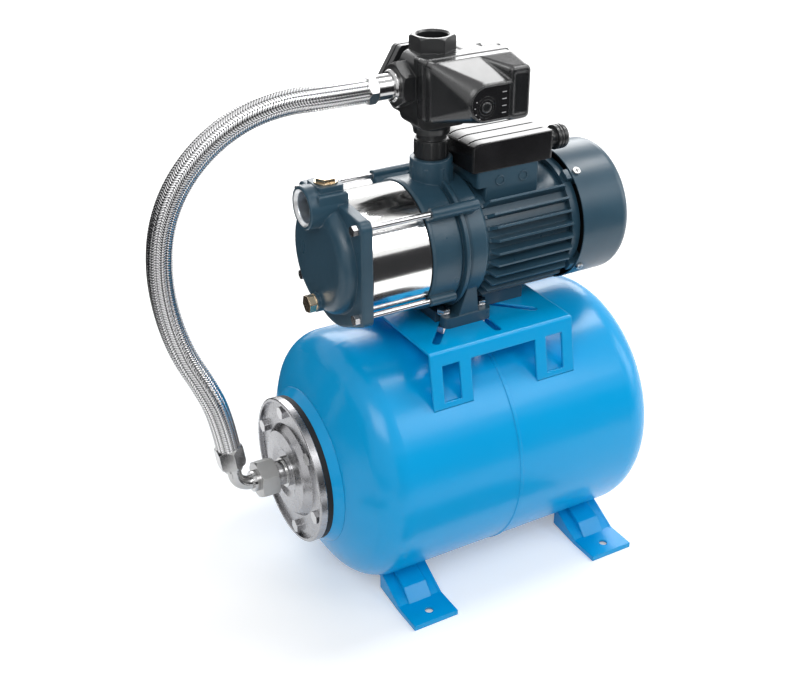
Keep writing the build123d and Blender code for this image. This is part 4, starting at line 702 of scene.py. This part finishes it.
panel_pieces = [
    ring_on_panel("button_ring", BUTTON_X, BUTTON_Z, 0.0078, 0.00045, plastic_cover),
    ring_on_panel("button_outer_ring", BUTTON_X, BUTTON_Z, 0.0106, 0.00030, plastic_cover)]
for index in range(4):
    panel_pieces.append(bar_on_panel(f"panel_bar_{index + 1}", BAR_X, BAR_Z + BAR_STEP * index,
                                     *BAR_SIZE, print_grey))
for index, degrees in enumerate(DOT_ANGLES):
    angle = math.radians(degrees)
    dot_x, dot_z = BUTTON_X + DOT_CIRCLE * math.cos(angle), BUTTON_Z + DOT_CIRCLE * math.sin(angle)
    panel_pieces.append(bar_on_panel(f"panel_dot_{index + 1}", dot_x, dot_z, *DOT_SIZE, print_grey))
for piece in panel_pieces:
    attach(piece, nodes["control_panel"]["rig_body"])

# ---------------------------------------------------------------- stage and light
FLOOR_GREY = (0.86, 0.86, 0.86, 1.0)
FLOOR_SIZE = 14.0
FLOOR_LIFT = 0.30
WORLD_FILL = 0.36
CARD_BLACK = (0.03, 0.03, 0.032, 1.0)
FADE_FRONT, FADE_BACK = -0.39, 2.2
UP = (0.0, 0.0, 1.0)


def plain(name, build):
    """A material for the stage, built by one function."""
    made = bpy.data.materials.new(name)
    made.use_nodes = True
    tree = made.node_tree
    tree.nodes.clear()
    add_node(tree, "ShaderNodeOutputMaterial", {}, Surface=build(tree))
    return made


def seen_rays(tree):
    """1 for camera, glossy and transmission rays."""
    path = add_node(tree, "ShaderNodeLightPath", {})
    value = Value(tree, path.outputs["Is Camera Ray"])
    for other in ("Is Glossy Ray", "Is Transmission Ray"):
        value = value.math("MAXIMUM", Value(tree, path.outputs[other]))
    return value


def floor_shader(tree):
    """Pale floor that takes shadows and looks a little lighter than the lamps make it."""
    diffuse = add_node(tree, "ShaderNodeBsdfDiffuse", {}, Color=FLOOR_GREY)
    glow = add_node(tree, "ShaderNodeEmission", {}, Strength=seen_rays(tree) * FLOOR_LIFT)
    both = add_node(tree, "ShaderNodeAddShader", {})
    tree.links.new(diffuse.outputs[0], both.inputs[0])
    tree.links.new(glow.outputs[0], both.inputs[1])
    return both.outputs[0]


def flag_shader(tree):
    """Even dark card."""
    return add_node(tree, "ShaderNodeEmission", {}, Color=CARD_BLACK).outputs[0]


def fading_shader(tree):
    """Card that fades from grey in front to white at its back edge."""
    place = add_node(tree, "ShaderNodeTexCoord", {})
    parts = add_node(tree, "ShaderNodeSeparateXYZ", {}, Vector=place.outputs["Object"])
    strength = Value(tree, parts.outputs["Y"]).clipped(FADE_FRONT, FADE_BACK) * 0.80 + 0.20
    return add_node(tree, "ShaderNodeEmission", {}, Strength=strength).outputs[0]


def sheet_on_stage(name, centre, width, height, facing, material):
    """Flat rectangle of the stage that faces a given way."""
    turn = Vector(facing).to_track_quat("Z", "Y").to_matrix()
    signs = ((-1, -1), (1, -1), (1, 1), (-1, 1))
    points = [tuple(Vector(centre) + turn @ Vector((x * width / 2, y * height / 2, 0.0)))
              for x, y in signs]
    made = new_piece(name, points, [(0, 1, 2, 3)], material)
    return made


sheet_on_stage("floor", (0.0, 0.0, 0.0), FLOOR_SIZE, FLOOR_SIZE, UP,
               plain("floor_white", floor_shader))
flag_black = plain("flag_black", flag_shader)


def flag(name, centre, width, height, facing, material=flag_black):
    """Studio card that shows in glossy surfaces only."""
    made = sheet_on_stage(name, centre, width, height, facing, material)
    made.visible_camera = False
    made.visible_diffuse = False
    made.visible_shadow = False
    made.visible_transmission = False
    made.visible_volume_scatter = False


flag("flag_front", (1.1, -2.6, 0.565), 3.6, 1.13, (0.0, 1.0, 0.0))
flag("flag_floor", (1.25, -1.69, 0.004), 3.5, 1.82, UP)
flag("flag_above", (1.3, 0.905, 2.6), 1.6, 2.59, (0.0, 0.0, -1.0),
     plain("flag_fading", fading_shader))
flag("flag_left", (-1.5, 0.4, 0.55), 1.6, 1.0, (1.0, -0.2, 0.0))
flag("flag_hose_left", (-0.92, 0.20, 0.003), 0.75, 0.24, UP)
flag("flag_hose_right", (-0.02, -0.28, 0.003), 0.28, 0.16, UP)
flag("flag_nut", (-0.47, -0.24, 0.003), 0.10, 0.30, UP)
flag("flag_floor_back", (-0.675, 1.22, 0.003), 1.75, 1.6, UP)
flag("flag_floor_left", (-1.57, -1.27, 0.003), 1.65, 1.85, UP)
flag("flag_back_left", (-1.20, 2.25, 0.45), 2.2, 0.9, (0.0, -1.0, 0.0))


def softbox(name, centre, aim, width, height, power):
    """Rectangular lamp that points at a spot."""
    lamp = bpy.data.lights.new(name, "AREA")
    lamp.shape = "RECTANGLE"
    lamp.size = width
    lamp.size_y = height
    lamp.energy = power
    made = bpy.data.objects.new(name, lamp)
    made.location = centre
    made.rotation_euler = (Vector(aim) - Vector(centre)).to_track_quat("-Z", "Y").to_euler()
    made.visible_camera = False
    bpy.context.scene.collection.objects.link(made)


softbox("key", (-1.3, -1.5, 2.1), (-0.05, 0.0, 0.25), 1.45, 1.05, 24.0)
softbox("back", (1.4, 2.6, 1.7), (0.0, 0.0, 0.35), 3.2, 1.4, 74.0)
softbox("right", (2.2, -0.9, 1.1), (0.05, 0.0, 0.2), 0.8, 1.4, 12.0)
softbox("above", (1.20, 0.0, 2.3), (0.0, 0.0, 0.5), 0.6, 1.0, 20.0)
softbox("front", (1.50, -2.35, 2.3), (0.0, 0.0, 0.4), 0.9, 1.3, 15.0)

# White surroundings: full where camera and gloss see them, weaker as a light on the set
world = bpy.data.worlds.new("studio")
world.use_nodes = True
bpy.context.scene.world = world
backdrop = world.node_tree.nodes["Background"]
backdrop.inputs["Color"].default_value = (1.0, 1.0, 1.0, 1.0)
world_strength = seen_rays(world.node_tree) * (1.0 - WORLD_FILL) + WORLD_FILL
world.node_tree.links.new(world_strength.socket, backdrop.inputs["Strength"])
bpy.context.scene.view_settings.view_transform = "Standard"
